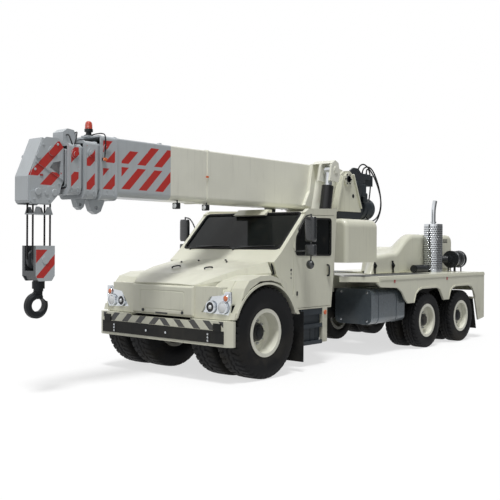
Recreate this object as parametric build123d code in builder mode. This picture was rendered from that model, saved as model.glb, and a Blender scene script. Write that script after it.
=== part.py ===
"""Mobile crane with a pivoting chassis, a four-part telescopic boom and a hanging hook block.

Millimetres.  +X is forward, +Y is left, +Z is up, and the ground is z = 0.
Every x written below is measured from the front axle; the helpers add front_axle_x,
which puts the origin under the middle of the whole vehicle.
"""
import os
from build123d import *

os.makedirs("parts", exist_ok=True)

# Datum and wheels
front_axle_x = 2175
rear_axle_x = (-4962, -6415)
front_tyre_r = 674
front_tyre_width = 445
front_tyre_y = (672, 1185)
front_rim_r = 322
rear_tyre_r = 525
rear_tyre_width = 290
rear_tyre_y = (829, 1203)
rear_rim_r = 288
bead_share = 0.80
flange_height = 30
flange_width = 9

# Pivot between the two chassis halves
pivot_x = -2500
kingpin_r = 75
kingpin_gap = 5
deck_notch_r = 840

# Cab and doors
cab_half_width = 1120
cab_wall = 32
cab_floor_z = 1010
roof_z = 2490
door_gap = 7
door_hinge_x = -985
knuckle_r = 14
knuckle_length = 90
knuckle_z = (1150, 1900)
door_thickness = 42

# Deck of the rear chassis
deck_half_width = 1350
deck_top_z = 1405
deck_plate = 30
rear_end_x = -7480
tank_x = (-4220, -3060)
exhaust_at = (-6300, 745)

# Boom
boom_z_low = 2590
boom_z_high = 3385
base_half_width = 270
section_wall = 10
boom_fold_r = 80
boom_pin = (-3400, 3170)
head_half_width = 150
head_sheave = (2940, 2590)
head_sheave_r = 130

# Lift cylinders
lift_foot = (-2300, 1300)
lift_eye = (-2660, 3270)
lift_y = 620
lift_barrel_r = 105
lift_rod_r = 70

# Holes where rigging and a tow pin go
base_lug_hole_r = 28
section_lug_hole_r = 24
tow_pin_hole_r = 22

# Hook block
block_x = head_sheave[0]
block_half = 142
block_z = (1470, 1920)
block_sheave_z = 1740
fall_x = 130
fall_y = 60
rope_r = 9

# Hook: outer and inner circle of the bowl, and where the point ends
hook_centre = (block_x + 35, 1155)
hook_outer_r = 165
hook_throat_centre = (block_x + 5, 1165)
hook_throat_r = 85


def side_plane(y):
    """Vertical plane at y; its own x and y are the vehicle's x and z, its normal is -Y."""
    return Plane(origin=(front_axle_x, y, 0), x_dir=(1, 0, 0), z_dir=(0, -1, 0))


def across(points, y_low, y_high, mode=Mode.ADD, radius=0):
    """Side outline of (x, z) points pulled across the vehicle from y_high to y_low."""
    with BuildSketch(side_plane(y_high)) as outline:
        with BuildLine():
            if radius:
                FilletPolyline(*points, radius=radius, close=True)
            else:
                Polyline(*points, close=True)
        make_face()
    extrude(outline.sketch, amount=y_high - y_low, mode=mode)


def across_both(points, y_in, y_out, mode=Mode.ADD, radius=0):
    """The same outline on the left and on the right."""
    across(points, y_in, y_out, mode, radius)
    across(points, -y_out, -y_in, mode, radius)


def rise(points, z_low, z_high, mode=Mode.ADD, radius=0):
    """Plan outline of (x, y) points pulled up from z_low to z_high."""
    with BuildSketch(Plane(origin=(front_axle_x, 0, z_low))) as outline:
        with BuildLine():
            if radius:
                FilletPolyline(*points, radius=radius, close=True)
            else:
                Polyline(*points, close=True)
        make_face()
    extrude(outline.sketch, amount=z_high - z_low, mode=mode)


def along(points, x_low, x_high, mode=Mode.ADD, radius=0):
    """Cross-section of (y, z) points pulled forward from x_low to x_high."""
    with BuildSketch(Plane(origin=(front_axle_x + x_low, 0, 0), x_dir=(0, 1, 0),
                           z_dir=(1, 0, 0))) as outline:
        with BuildLine():
            if radius:
                FilletPolyline(*points, radius=radius, close=True)
            else:
                Polyline(*points, close=True)
        make_face()
    extrude(outline.sketch, amount=x_high - x_low, mode=mode)


def block(x0, x1, y0, y1, z0, z1, mode=Mode.ADD):
    """Rectangular block between two corners."""
    with Locations((front_axle_x + (x0 + x1) / 2, (y0 + y1) / 2, (z0 + z1) / 2)):
        Box(abs(x1 - x0), abs(y1 - y0), abs(z1 - z0), mode=mode)


def block_both(x0, x1, y_in, y_out, z0, z1, mode=Mode.ADD):
    """A block on the left and its mirror on the right."""
    block(x0, x1, y_in, y_out, z0, z1, mode)
    block(x0, x1, -y_out, -y_in, z0, z1, mode)


def rod(start, end, r, mode=Mode.ADD):
    """Round bar from start to end, both (x, y, z)."""
    a = Vector(front_axle_x + start[0], start[1], start[2])
    b = Vector(front_axle_x + end[0], end[1], end[2])
    with BuildSketch(Plane(origin=a, z_dir=b - a)) as disc:
        Circle(r)
    extrude(disc.sketch, amount=(b - a).length, mode=mode)


def rod_y(x, z, r, y0, y1, mode=Mode.ADD):
    """Round bar across the vehicle."""
    rod((x, y0, z), (x, y1, z), r, mode)


def rod_y_both(x, z, r, y_in, y_out, mode=Mode.ADD):
    rod_y(x, z, r, y_in, y_out, mode)
    rod_y(x, z, r, -y_out, -y_in, mode)


def fold(x0, x1, half, z0, z1, r_low, r_high, mode=Mode.ADD):
    """Closed box section along the vehicle with folded corners, r_low below and r_high above."""
    with BuildSketch(Plane(origin=(front_axle_x + x0, 0, 0), x_dir=(0, 1, 0), z_dir=(1, 0, 0))) as outline:
        with Locations((0, (z0 + z1) / 2)):
            Rectangle(2 * half, z1 - z0)
        fillet(outline.vertices().sort_by(Axis.Y)[:2], r_low)
        fillet(outline.vertices().sort_by(Axis.Y)[-2:], r_high)
    extrude(outline.sketch, amount=x1 - x0, mode=mode)


def arch_band(x, z, r_in, r_out, floor_z, y_in, y_out):
    """Ring sector above floor_z around a wheel at (x, z), left and right."""
    for y_low, y_high in ((y_in, y_out), (-y_out, -y_in)):
        with BuildSketch(side_plane(y_high)) as outline:
            with Locations((x, z)):
                Circle(r_out)
                Circle(r_in, mode=Mode.SUBTRACT)
            with Locations((x, floor_z - r_out)):
                Rectangle(3 * r_out, 2 * r_out, mode=Mode.SUBTRACT)
        extrude(outline.sketch, amount=y_high - y_low)


def spin(points, x, z, mode=Mode.ADD):
    """Ring turned about the axle line at (x, z) from (y, radius) points."""
    with BuildSketch(Plane(origin=(front_axle_x + x, 0, z), x_dir=(0, 1, 0), z_dir=(1, 0, 0))) as half:
        with BuildLine():
            Polyline(*points, close=True)
        make_face()
    revolve(half.sketch, axis=Axis((front_axle_x + x, 0, z), (0, 1, 0)), mode=mode)


def tyre_profile(centre, width, outer_r, bead_r):
    """Half-section of one tyre: two beads, bulged walls and a flat tread with rounded shoulders."""
    h = width / 2
    wall = outer_r - bead_r
    right = [
        (bead_share * h, bead_r),
        (bead_share * h, bead_r + flange_height),
        (0.97 * h, bead_r + 0.36 * wall),
        (1.00 * h, bead_r + 0.52 * wall),
        (0.96 * h, bead_r + 0.76 * wall),
        (0.88 * h, bead_r + 0.94 * wall),
        (0.76 * h, outer_r),
    ]
    left = [(-y, r) for y, r in reversed(right)]
    return [(centre + y, r) for y, r in right + left]


def mirror_points(points, side):
    return [(side * y, r) for y, r in points]


# Wheels: each hub carries two tyres; the outer rim is a deep dish with the disc far inboard
wheel_sets = [
    # name, axle x, side, tyre centres, tyre width, tyre radius, rim radius, disc y, hub radius
    ("front_left", 0, 1, front_tyre_y, front_tyre_width, front_tyre_r, front_rim_r, 1150, 135),
    ("front_right", 0, -1, front_tyre_y, front_tyre_width, front_tyre_r, front_rim_r, 1150, 135),
    ("mid_left", rear_axle_x[0], 1, rear_tyre_y, rear_tyre_width, rear_tyre_r, rear_rim_r, 1190, 115),
    ("mid_right", rear_axle_x[0], -1, rear_tyre_y, rear_tyre_width, rear_tyre_r, rear_rim_r, 1190, 115),
    ("rear_left", rear_axle_x[1], 1, rear_tyre_y, rear_tyre_width, rear_tyre_r, rear_rim_r, 1190, 115),
    ("rear_right", rear_axle_x[1], -1, rear_tyre_y, rear_tyre_width, rear_tyre_r, rear_rim_r, 1190, 115),
]
for name, x, side, centres, width, outer_r, rim_r, disc_y, hub_r in wheel_sets:
    with BuildPart() as tyres:
        for centre in centres:
            spin(mirror_points(tyre_profile(centre, width, outer_r, rim_r), side), x, outer_r)
    tyres.part.label = f"tyres_{name}"
    export_step(tyres.part, f"parts/tyres_{name}.step")

    bead = bead_share * width / 2
    flange = rim_r + flange_height
    inner_y = centres[0] - bead
    outer_y = centres[1] + bead
    with BuildPart() as rim:
        spin(mirror_points([
            (inner_y - flange_width, flange), (inner_y - flange_width, rim_r - 22),
            (disc_y - 28, rim_r - 22),
            (disc_y - 28, 90), (disc_y - 210, 90), (disc_y - 210, 0), (disc_y + 75, 0),
            (disc_y + 75, hub_r - 12),
            (disc_y + 62, hub_r), (disc_y, hub_r), (disc_y, rim_r - 55), (disc_y + 30, rim_r - 24),
            (outer_y + flange_width, rim_r - 24), (outer_y + flange_width, flange), (outer_y, flange),
            (outer_y, rim_r), (inner_y, rim_r), (inner_y, flange),
        ], side), x, outer_r)
    rim.part.label = f"rims_{name}"
    export_step(rim.part, f"parts/rims_{name}.step")

# Front chassis: two rails, cross members, axle, springs and the fork that holds the kingpin
with BuildPart() as chassis_front:
    block_both(-2150, 720, 250, 330, 620, 860)
    for x in (640, -600, -1400, -2080):
        block(x - 60, x + 60, -330, 330, 660, 820)
    rise([(-2150, -420), (-2150, 420), (pivot_x - 60, 190), (pivot_x - 170, 60), (pivot_x - 170, -60),
          (pivot_x - 60, -190)], 560, 620)
    rise([(-2150, -420), (-2150, 420), (pivot_x - 60, 190), (pivot_x - 170, 60), (pivot_x - 170, -60),
          (pivot_x - 60, -190)], 1030, 1110)
    block(-2250, -2050, -420, 420, 560, 1110)
    rod((pivot_x, 0, 560), (pivot_x, 0, 1110), kingpin_r - kingpin_gap)
    rod_y(0, front_tyre_r, 105, -400, 400)
    rod_y(0, front_tyre_r, 85, -938, 938)
    block_both(-560, 560, 255, 325, 480, 560)
    block_both(-75, 75, 255, 325, 540, 640)
    block_both(-540, -480, 255, 325, 540, 640)
    block_both(480, 540, 255, 325, 540, 640)
chassis_front.part.label = "chassis_front"
export_step(chassis_front.part, "parts/chassis_front.step")

# Cab shell: hollow, with door openings, windscreen and rear window cut out
cab_bottom_z = 930
cab_outline = [
    (-480, 1690), (-600, 1785), (-690, 1860), (-1310, roof_z), (-2155, roof_z), (-2100, 1670),
    (-2010, cab_bottom_z), (-790, cab_bottom_z), (-790, 1180), (-700, 1380), (-560, 1480),
]
cab_hollow = [
    (-830, cab_floor_z), (-830, 1690), (-760, 1830), (-1335, roof_z - 34), (-2118, roof_z - 34),
    (-2064, 1670), (-1980, cab_floor_z),
]
door_outline = [
    (-985, 960), (-985, 2105), (-1235, 2400), (-1290, 2425), (-2085, 2440), (-2058, 1670), (-1985, 960),
]
door_opening = [
    (-985 + door_gap, 960 - door_gap), (-985 + door_gap, 2105 + 3), (-1235 + 3, 2400 + door_gap),
    (-1290, 2425 + door_gap), (-2085 - door_gap, 2440 + door_gap), (-2058 - door_gap, 1670),
    (-1985 - door_gap, 960 - door_gap),
]
window_outline = [(-1045, 1800), (-1045, 2075), (-1290, 2375), (-1995, 2385), (-1995, 1790)]
windscreen_top = (-1290, 2466)
windscreen_foot = (-722, 1888)
with BuildPart() as cab_shell:
    across(cab_outline, -cab_half_width, cab_half_width)
    across(cab_hollow, -cab_half_width + cab_wall, cab_half_width - cab_wall, mode=Mode.SUBTRACT)
    across_both(door_opening, cab_half_width - door_thickness - 4, cab_half_width + 5, mode=Mode.SUBTRACT)
    slope = Vector(windscreen_top[0] - windscreen_foot[0], 0, windscreen_top[1] - windscreen_foot[1])
    across([(windscreen_foot[0] + 90, windscreen_foot[1] + 90),
            (windscreen_top[0] + 90, windscreen_top[1] + 90),
            (windscreen_top[0] - 60, windscreen_top[1] - 60),
            (windscreen_foot[0] - 60, windscreen_foot[1] - 60)],
           -1040, 1040, mode=Mode.SUBTRACT)
    block(-2300, -2000, -700, 700, 1850, 2330, mode=Mode.SUBTRACT)
    across_both([(-1262, 2470), (-1375, 2535), (-2165, 2565), (-2155, 2470)], 1045, cab_half_width)
    block_both(-1900, -1770, cab_half_width - 60, cab_half_width, 370, 945)
    for z in knuckle_z:
        for side in (1, -1):
            rod((door_hinge_x, side * cab_half_width, z - 8),
                (door_hinge_x, side * cab_half_width, z + knuckle_length + 8), knuckle_r + 7,
                mode=Mode.SUBTRACT)
cab_shell.part.label = "cab_shell"
export_step(cab_shell.part, "parts/cab_shell.step")

# Visor: a hood on the roof's front edge
with BuildPart() as visor:
    across([(-1310, roof_z), (-1250, 2429.1), (-1205, 2446), (-1335, 2540), (-1400, 2538),
            (-1400, roof_z)], -340, 340)
visor.part.label = "visor"
export_step(visor.part, "parts/visor.step")

with BuildPart() as cab_glass:
    across([(windscreen_foot[0] + 4, windscreen_foot[1] - 22),
            (windscreen_top[0] - 4, windscreen_top[1] - 18),
            (windscreen_top[0] - 12, windscreen_top[1] - 26),
            (windscreen_foot[0] - 4, windscreen_foot[1] - 30)],
           -1044, 1044)
    across([(-2080, 1845), (-2116, 2335), (-2124, 2335), (-2088, 1845)], -704, 704)
cab_glass.part.label = "cab_glass"
export_step(cab_glass.part, "parts/cab_glass.step")

with BuildPart() as cab_interior:
    across([(-832, 1300), (-832, 1700), (-880, 1790), (-1040, 1770), (-1100, 1640), (-1060, 1540),
            (-900, 1480)],
           -1068, 1068)
    block(-1330, -880, -150, 150, cab_floor_z + 1, 1180)
    for side in (1, -1):
        y = side * 520
        block(-1880, -1420, y - 200, y + 200, cab_floor_z + 1, 1330)
        block(-1900, -1380, y - 250, y + 250, 1330, 1440)
        across([(-1800, 1440), (-1920, 1440), (-2000, 2100), (-1900, 2100)], y - 240, y + 240)
    with BuildSketch(Plane(origin=(front_axle_x - 1190, 520, 1760), z_dir=(-0.55, 0, 0.835))):
        Circle(215)
        Circle(188, mode=Mode.SUBTRACT)
        Rectangle(390, 36)
        Circle(50)
    extrude(amount=26)
    rod((-1040, 520, 1560), (-1190, 520, 1765), 32)
cab_interior.part.label = "cab_interior"
export_step(cab_interior.part, "parts/cab_interior.step")

# Doors with window, glass and mirrors; they turn about the front edge of the skin
for name, side in (("left", 1), ("right", -1)):
    y_in = cab_half_width - door_thickness
    low, high = sorted((side * y_in, side * cab_half_width))
    with BuildPart() as door:
        across(door_outline, low, high)
        across(window_outline, low - 5, high + 5, mode=Mode.SUBTRACT, radius=45)
        a, b = sorted((side * (cab_half_width - 3), side * (cab_half_width + 42)))
        block(-1950, -1915, a, b, 1600, 1625)
        block(-1950, -1915, a, b, 1435, 1460)
        a, b = sorted((side * (cab_half_width + 22), side * (cab_half_width + 42)))
        block(-1950, -1915, a, b, 1435, 1625)
        for z in knuckle_z:
            rod((door_hinge_x, side * cab_half_width, z), (door_hinge_x, side * cab_half_width,
                                                           z + knuckle_length),
                knuckle_r)
    door.part.label = f"door_{name}"
    export_step(door.part, f"parts/door_{name}.step")

    with BuildPart() as door_glass:
        a, b = sorted((side * (cab_half_width - 24), side * (cab_half_width - 18)))
        across([(-1041, 1796), (-1041, 2077), (-1288, 2379), (-1999, 2389), (-1999, 1786)], a, b, radius=45)
    door_glass.part.label = f"door_glass_{name}"
    export_step(door_glass.part, f"parts/door_glass_{name}.step")

    with BuildPart() as mirrors:
        y = side * 1370
        a, b = sorted((side * 1270, side * 1480))
        head = [(-1005, a), (-1005, b), (-1145, b), (-1145, a)]
        rise(head, 2005, 2390, radius=52)
        rise(head, 1785, 1960, radius=52)
        rod((-1070, y, 1600), (-1070, y, 2440), 12)
        rod((-1100, side * (cab_half_width - 4), 2180), (-1075, y, 2425), 12)
        rod((-1020, side * (cab_half_width - 4), 1740), (-1070, y, 1745), 12)
        rod((-1030, y, 1650), (-1090, y, 1650), 95)
        rod((-1010, y, 1650), (-1031, y, 1650), 60)
    mirrors.part.label = f"mirrors_{name}"
    export_step(mirrors.part, f"parts/mirrors_{name}.step")

# Cross-sections of the bonnet, from the nose back to the windscreen
bonnet_skin = 20
bonnet_hinge = (740, 1364)
bonnet_ribs = [
    # x, half width at the seam, seam z, half width at the ridge, ridge z, centre z
    (740, 655, 1358, 650, 1372, 1374),
    (430, 880, 1425, 850, 1500, 1512),
    (100, 965, 1506, 930, 1585, 1600),
    (-470, 1085, 1528, 1010, 1686, 1725),
]


def bonnet_body(inset, drop, mode):
    """Ruled body through the bonnet's cross-sections, drawn in by inset and open drop below the seam."""
    ribs = []
    for x, seam_y, seam_z, ridge_y, ridge_z, mid_z in bonnet_ribs:
        sy, ry, top = seam_y - inset, ridge_y - inset, ridge_z - inset
        with BuildSketch(Plane(origin=(front_axle_x + x, 0, 0), x_dir=(0, 1, 0), z_dir=(1, 0, 0))) as rib:
            with BuildLine():
                Polyline((-sy, seam_z - drop), (-sy, min(seam_z, top - 2)), (-ry, top), (0, mid_z - inset),
                         (ry, top), (sy, min(seam_z, top - 2)), (sy, seam_z - drop), close=True)
            make_face()
        ribs.append(rib.sketch)
    loft(ribs, ruled=True, mode=mode)


# Front wings, nose panel and headlamp housings below the bonnet
arch_outer = [(722, 905), (650, 1150), (430, 1430), (170, 1500), (-80, 1510), (-410, 1420), (-590, 1250),
              (-740, 975), (-790, 905)]
arch_inner = [(-720, 905), (-660, 960), (-490, 1215), (-300, 1390), (-90, 1435), (170, 1425), (370, 1330),
              (560, 1180), (650, 930), (655, 905)]
lamp_panel = [(775, 985), (1285, 965), (1318, 1130), (1312, 1292), (1222, 1292), (1170, 1240), (945, 1215)]
nose_frame = [(-500, 990), (500, 990), (500, 1212), (-500, 1212)]
nose_field = [(-484, 1006), (484, 1006), (484, 1196), (-484, 1196)]
with BuildPart() as front_wings:
    across_both(arch_outer + arch_inner, 440, 1390)
    # nose and lamp housing between the wings
    rise([(745, -640), (745, 640), (725, 1290), (600, 1385), (600, -1385), (725, -1290)], 895, 1350)
    rise([(700, -600), (700, 600), (690, 1240), (590, 1300), (590, -1300), (690, -1240)], 890, 1320,
         mode=Mode.SUBTRACT)
    rise([(700, -600), (700, 600), (590, 640), (590, -640)], 1200, 1360, mode=Mode.SUBTRACT)
    across_both([(800, 1300), (760, 1420), (400, 1560), (300, 1560), (500, 1330), (640, 1000),
                 (800, 1000)], 1150,
                1500, mode=Mode.SUBTRACT)
    # raised frame and air slot on the nose, pockets for the lamp panels
    along(nose_frame, 737, 760, mode=Mode.SUBTRACT, radius=45)
    along(nose_field, 720, 744, radius=32)
    block(730, 760, -130, 130, 925, 945, mode=Mode.SUBTRACT)
    for side in (1, -1):
        along([(side * y, z) for y, z in lamp_panel], 680, 800, mode=Mode.SUBTRACT)
    bonnet_body(-7, 14, Mode.SUBTRACT)
    rod_y_both(0, front_tyre_r, front_tyre_r + 30, 430, 1500, mode=Mode.SUBTRACT)
    arch_band(0, front_tyre_r, front_tyre_r + 30, front_tyre_r + 62, 930, 1380, 1402)
front_wings.part.label = "front_wings"
export_step(front_wings.part, "parts/front_wings.step")

# Bonnet: folded shell with a ridge each side, hinged at the nose
with BuildPart() as bonnet:
    bonnet_body(0, 6, Mode.ADD)
    bonnet_body(bonnet_skin, 80, Mode.SUBTRACT)
    rod_y_both(bonnet_hinge[0], bonnet_hinge[1], 9, 380, 480)
bonnet.part.label = "bonnet"
export_step(bonnet.part, "parts/bonnet.step")

# Bumper with end caps, dark plate and slanted warning stripes
with BuildPart() as bumper:
    rise([(700, -1395), (760, -1410), (815, -1330), (823, -1290), (823, 1290), (815, 1330), (760, 1410),
          (700, 1395)], 530, 888)
    rise([(660, -1340), (780, -1300), (780, 1300), (660, 1340)], 520, 870, mode=Mode.SUBTRACT)
    block(690, 900, -640, 640, 862, 900, mode=Mode.SUBTRACT)
bumper.part.label = "bumper"
export_step(bumper.part, "parts/bumper.step")

with BuildPart() as bumper_plate:
    block(823, 831, -1290, 1290, 572, 750)
    block_both(823, 842, 1095, 1235, 745, 852)
bumper_plate.part.label = "bumper_plate"
export_step(bumper_plate.part, "parts/bumper_plate.step")

with BuildPart() as headlamps:
    for side in (1, -1):
        along([(side * y, z) for y, z in lamp_panel], 684, 716)
        for y, front in ((945, 742), (1180, 734)):
            rod((716, side * y, 1067), (front, side * y, 1067), 84)
            rod((front - 14, side * y, 1067), (front + 1, side * y, 1067), 70, mode=Mode.SUBTRACT)
            rod((front - 14, side * y, 1067), (front - 4, side * y, 1067), 40)
headlamps.part.label = "headlamps"
export_step(headlamps.part, "parts/headlamps.step")

# Indicators beside the headlamps and on the posts behind the steps
with BuildPart() as indicators:
    for side in (1, -1):
        along([(side * y, z) for y, z in ((1180, 1165), (1292, 1165), (1292, 1272), (1235, 1272))], 716, 728)
        rod((-1835, side * cab_half_width, 850), (-1835, side * (cab_half_width + 14), 850), 32)
indicators.part.label = "indicators"
export_step(indicators.part, "parts/indicators.step")

# Steps under the doors and the front mudflaps
with BuildPart() as cab_steps:
    for z in (350, 620):
        block_both(-1765, -1190, 840, 1112, z, z + 34)
        block_both(-1765, -1190, 1098, 1118, z, z + 62)
    block_both(-1765, -1190, 820, 850, 350, cab_bottom_z)
    block_both(-1215, -1185, 820, 1118, 350, cab_bottom_z)
    block_both(-1765, -1240, 1090, 1112, 830, cab_bottom_z)
cab_steps.part.label = "cab_steps"
export_step(cab_steps.part, "parts/cab_steps.step")

with BuildPart() as mudflaps_front:
    block_both(-890, -872, 470, 1390, 160, cab_bottom_z)
mudflaps_front.part.label = "mudflaps_front"
export_step(mudflaps_front.part, "parts/mudflaps_front.step")

# Mast: boxed tower over the kingpin with brackets for the lift cylinders, cheeks and the boom's foot pin
cheek = [(-2560, 2430), (-2960, 2560), (-3180, 3230), (-3290, 3315), (-3660, 3335), (-3740, 3260),
         (-4000, 2650),
         (-3900, 2560), (-3080, 2200), (-2700, 2200)]
cheek_y = (450, 500)
foot_pin_r = 60
with BuildPart() as mast:
    block(-3080, -2200, -cheek_y[0], cheek_y[0], 1110, 2430)
    across([(-2560, 2430), (-2960, 2560), (-3080, 2560), (-3080, 2430)], -cheek_y[0], cheek_y[0])
    foot = [(lift_foot[0] - 110, 1120), (lift_foot[0] - 110, 1330), (lift_foot[0] - 50, 1410),
            (lift_foot[0] + 50, 1410), (lift_foot[0] + 90, 1330), (lift_foot[0] + 90, 1120)]
    across_both(foot, 450, 500)
    across_both(foot, 735, 762)
    block_both(lift_foot[0] - 110, lift_foot[0] + 90, 440, 762, 1115, 1160)
    rod_y_both(lift_foot[0], lift_foot[1], 45, 450, 768)
mast.part.label = "mast"
export_step(mast.part, "parts/mast.step")

with BuildPart() as mast_cheeks:
    across_both(cheek, cheek_y[0], cheek_y[1])
    across_both([(-2960, 2560), (-3180, 3230), (-3225, 3216), (-3012, 2560)], cheek_y[1] - 2, 575)
    across_both([(-4000, 2650), (-3740, 3260), (-3772, 3274), (-4034, 2650)], 440, 530)
    rod_y_both(boom_pin[0], boom_pin[1], 120, cheek_y[1] - 2, 535)
    rod_y_both(boom_pin[0], boom_pin[1], foot_pin_r, 430, 560, mode=Mode.SUBTRACT)
    rod_y_both(-3610, 2870, 36, 430, 520, mode=Mode.SUBTRACT)
mast_cheeks.part.label = "mast_cheeks"
export_step(mast_cheeks.part, "parts/mast_cheeks.step")

with BuildPart() as boom_foot_pin:
    rod_y(boom_pin[0], boom_pin[1], foot_pin_r, -552, 552)
boom_foot_pin.part.label = "boom_foot_pin"
export_step(boom_foot_pin.part, "parts/boom_foot_pin.step")

# Counterweight boxes either side of the mast
with BuildPart() as counterweights:
    for side in (1, -1):
        with BuildSketch(Plane(origin=(front_axle_x - 3690, 0, 0), x_dir=(0, 1, 0),
                               z_dir=(1, 0, 0))) as section:
            with BuildLine():
                Polyline((side * 520, 2420), (side * 520, 1650), (side * 1000, 1650), (side * 1000, 2270))
                Line((side * 520, 2420), (side * 850, 2420))
                ThreePointArc((side * 850, 2420), (side * 956, 2376), (side * 1000, 2270))
            make_face()
        extrude(section.sketch, amount=1040)
    fillet(counterweights.edges().filter_by(Axis.Z).group_by(Axis.Y)[0], 80)
    fillet(counterweights.edges().filter_by(Axis.Z).group_by(Axis.Y)[-1], 80)
    block_both(-3060, -2700, 451, 530, 1700, 2150)
    # Slanted recess that the raised lift cylinder leans into
    across_both([(-2600, 2000), (-2635, 2000), (-2779, 2500), (-2600, 2500)], 500, 745, mode=Mode.SUBTRACT)
counterweights.part.label = "counterweights"
export_step(counterweights.part, "parts/counterweights.step")

# Lift cylinders: barrels hinge on the mast, rods slide in them and hold the boom's brackets
lift_run = Vector(lift_eye[0] - lift_foot[0], 0, lift_eye[1] - lift_foot[1])
lift_dir = lift_run.normalized()
barrel_length = 1720
with BuildPart() as lift_barrels:
    for side in (1, -1):
        y = side * lift_y
        foot_point = (lift_foot[0], y, lift_foot[1])
        top = (lift_foot[0] + lift_dir.X * barrel_length, y, lift_foot[1] + lift_dir.Z * barrel_length)
        rod(foot_point, top, lift_barrel_r)
        rod((lift_foot[0] + lift_dir.X * 140, y, lift_foot[1] + lift_dir.Z * 140),
            (top[0] + lift_dir.X * 5, y, top[2] + lift_dir.Z * 5), lift_rod_r + 2, mode=Mode.SUBTRACT)
        rod_y(lift_foot[0], lift_foot[1], 112, y - 100, y + 100)
        rod_y(lift_foot[0], lift_foot[1], 48, y - 110, y + 110, mode=Mode.SUBTRACT)
lift_barrels.part.label = "lift_barrels"
export_step(lift_barrels.part, "parts/lift_barrels.step")

with BuildPart() as lift_rods:
    for side in (1, -1):
        y = side * lift_y
        low = (lift_foot[0] + lift_dir.X * 160, y, lift_foot[1] + lift_dir.Z * 160)
        rod(low, (lift_eye[0], y, lift_eye[1]), lift_rod_r)
        rod_y(lift_eye[0], lift_eye[1], 85, y - 60, y + 60)
        rod_y(lift_eye[0], lift_eye[1], 48, y - 110, y + 110, mode=Mode.SUBTRACT)
lift_rods.part.label = "lift_rods"
export_step(lift_rods.part, "parts/lift_rods.step")

# Boom: four box sections, one inside the other, each with a collar at its mouth
boom_sections = [
    # name, x rear, x front, half width, z low, z high, fold radius below,
    # collar x rear, collar x front, collar half width, collar z low, collar z high, boss x, boss z
    ("base", -3250, 1960, base_half_width, boom_z_low, boom_z_high, 80, 1885, 2170, 282, 2540, 3393, 2070,
     3225),
    ("section_2", -3150, 2230, 240, 2620, 3280, 65, 2215, 2425, 262, 2545, 3300, 2315, 3150),
    ("section_3", -3050, 2470, 210, 2650, 3225, 55, 2465, 2655, 242, 2590, 3245, 2560, 3110),
    ("section_4", -2950, 2668, 180, 2680, 3175, 45, 0, 0, 0, 0, 0, 0, 0),
]
base_rib_x = 75
beacon_z = 3405

for name, x0, x1, half, z0, z1, fold_r, c0, c1, collar_half, cz0, cz1, boss_x, boss_z in boom_sections:
    with BuildPart() as section:
        fold(x0, x1, half, z0, z1, fold_r, 24)
        if c1:
            fold(c0, c1, collar_half, cz0, cz1, 70, 50)
            for edge in (c0, c1 - 22):
                fold(edge, edge + 22, collar_half + 9, cz0 - 6, cz1 + 6, 76, 56)
            rod_y_both(boss_x, boss_z, 58, collar_half - 4, collar_half + 14)
            rod_y_both(boss_x, boss_z, 30, collar_half, collar_half + 26)
        if name == "base":
            fold(base_rib_x - 22, base_rib_x + 22, half + 12, z0 - 12, z1 + 12, fold_r + 12, 36)
        fold(x0 - 1, max(x1, c1) + 1, half - section_wall, z0 + section_wall, z1 - section_wall,
             fold_r - section_wall, 14, mode=Mode.SUBTRACT)
        if name == "base":
            # foot: side plates that reach back to the pin, and brackets for the lift rods
            foot_plate = [(-2700, z0), (-2700, z1), (-3180, 3385), (-3560, 3300), (-3560, 3060),
                          (-3380, 2960),
                          (-3250, z0 + 60), (-3100, z0)]
            across_both(foot_plate, base_half_width - 10, 400)
            bracket = [(-2330, z0 + 60), (-2480, 2900), (-2560, 3385), (-2700, 3420), (-2800, 3385),
                       (-2800, 3150),
                       (-2700, 2900), (-2700, z0)]
            across_both(bracket, 260, 330)
            # flared sides between the box and the brackets
            for side in (1, -1):
                flare = []
                for z, plan in ((z0 + 6, [(-2450, 264), (-2700, 490), (-2724, 478), (-2474, 264)]),
                                (3384, [(-2712, 264), (-2752, 520), (-2790, 520), (-2750, 264)])):
                    with BuildSketch(Plane(origin=(front_axle_x, 0, z))) as cut:
                        with BuildLine():
                            Polyline(*[(x, side * y) for x, y in plan], close=True)
                        make_face()
                    flare.append(cut.sketch)
                loft(flare, ruled=True)
            eye_plate = [(-2480, 3080), (-2540, 3360), (-2640, 3440), (-2740, 3400), (-2800, 3200),
                         (-2740, 3060)]
            across_both(eye_plate, 480, 525)
            across_both(eye_plate, 715, 755)
            across_both([(-2700, 3060), (-2700, 3440), (-2800, 3420), (-2800, 3060)], 320, 525)
            across_both([(-2560, 3385), (-2640, 3440), (-2740, 3400), (-2700, 3370)], 320, 755)
            rod_y_both(lift_eye[0], lift_eye[1], 60, 490, 540)
            rod_y_both(lift_eye[0], lift_eye[1], 60, 700, 770)
            rod_y(boom_pin[0], boom_pin[1], 68, -420, 420, mode=Mode.SUBTRACT)
            # lug under the collar and a hose guide on top
            across([(2080, 2545), (2200, 2545), (2130, 2390), (2050, 2350), (1970, 2390), (1900, 2545)],
                   -45, 45)
            rod_y(2050, 2440, base_lug_hole_r, -60, 60, mode=Mode.SUBTRACT)
            across([(900, 3380), (975, 3380), (950, 3425), (915, 3425)], 60, 120)
            block(2075, 2225, -70, 70, 3386, beacon_z)
        if name == "section_2":
            across([(2230, 2550), (2410, 2550), (2370, 2440), (2310, 2400), (2260, 2440)], -45, 45)
            rod_y(2320, 2470, section_lug_hole_r, -60, 60, mode=Mode.SUBTRACT)
    section.part.label = f"boom_{name}"
    export_step(section.part, f"parts/boom_{name}.step")

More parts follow.
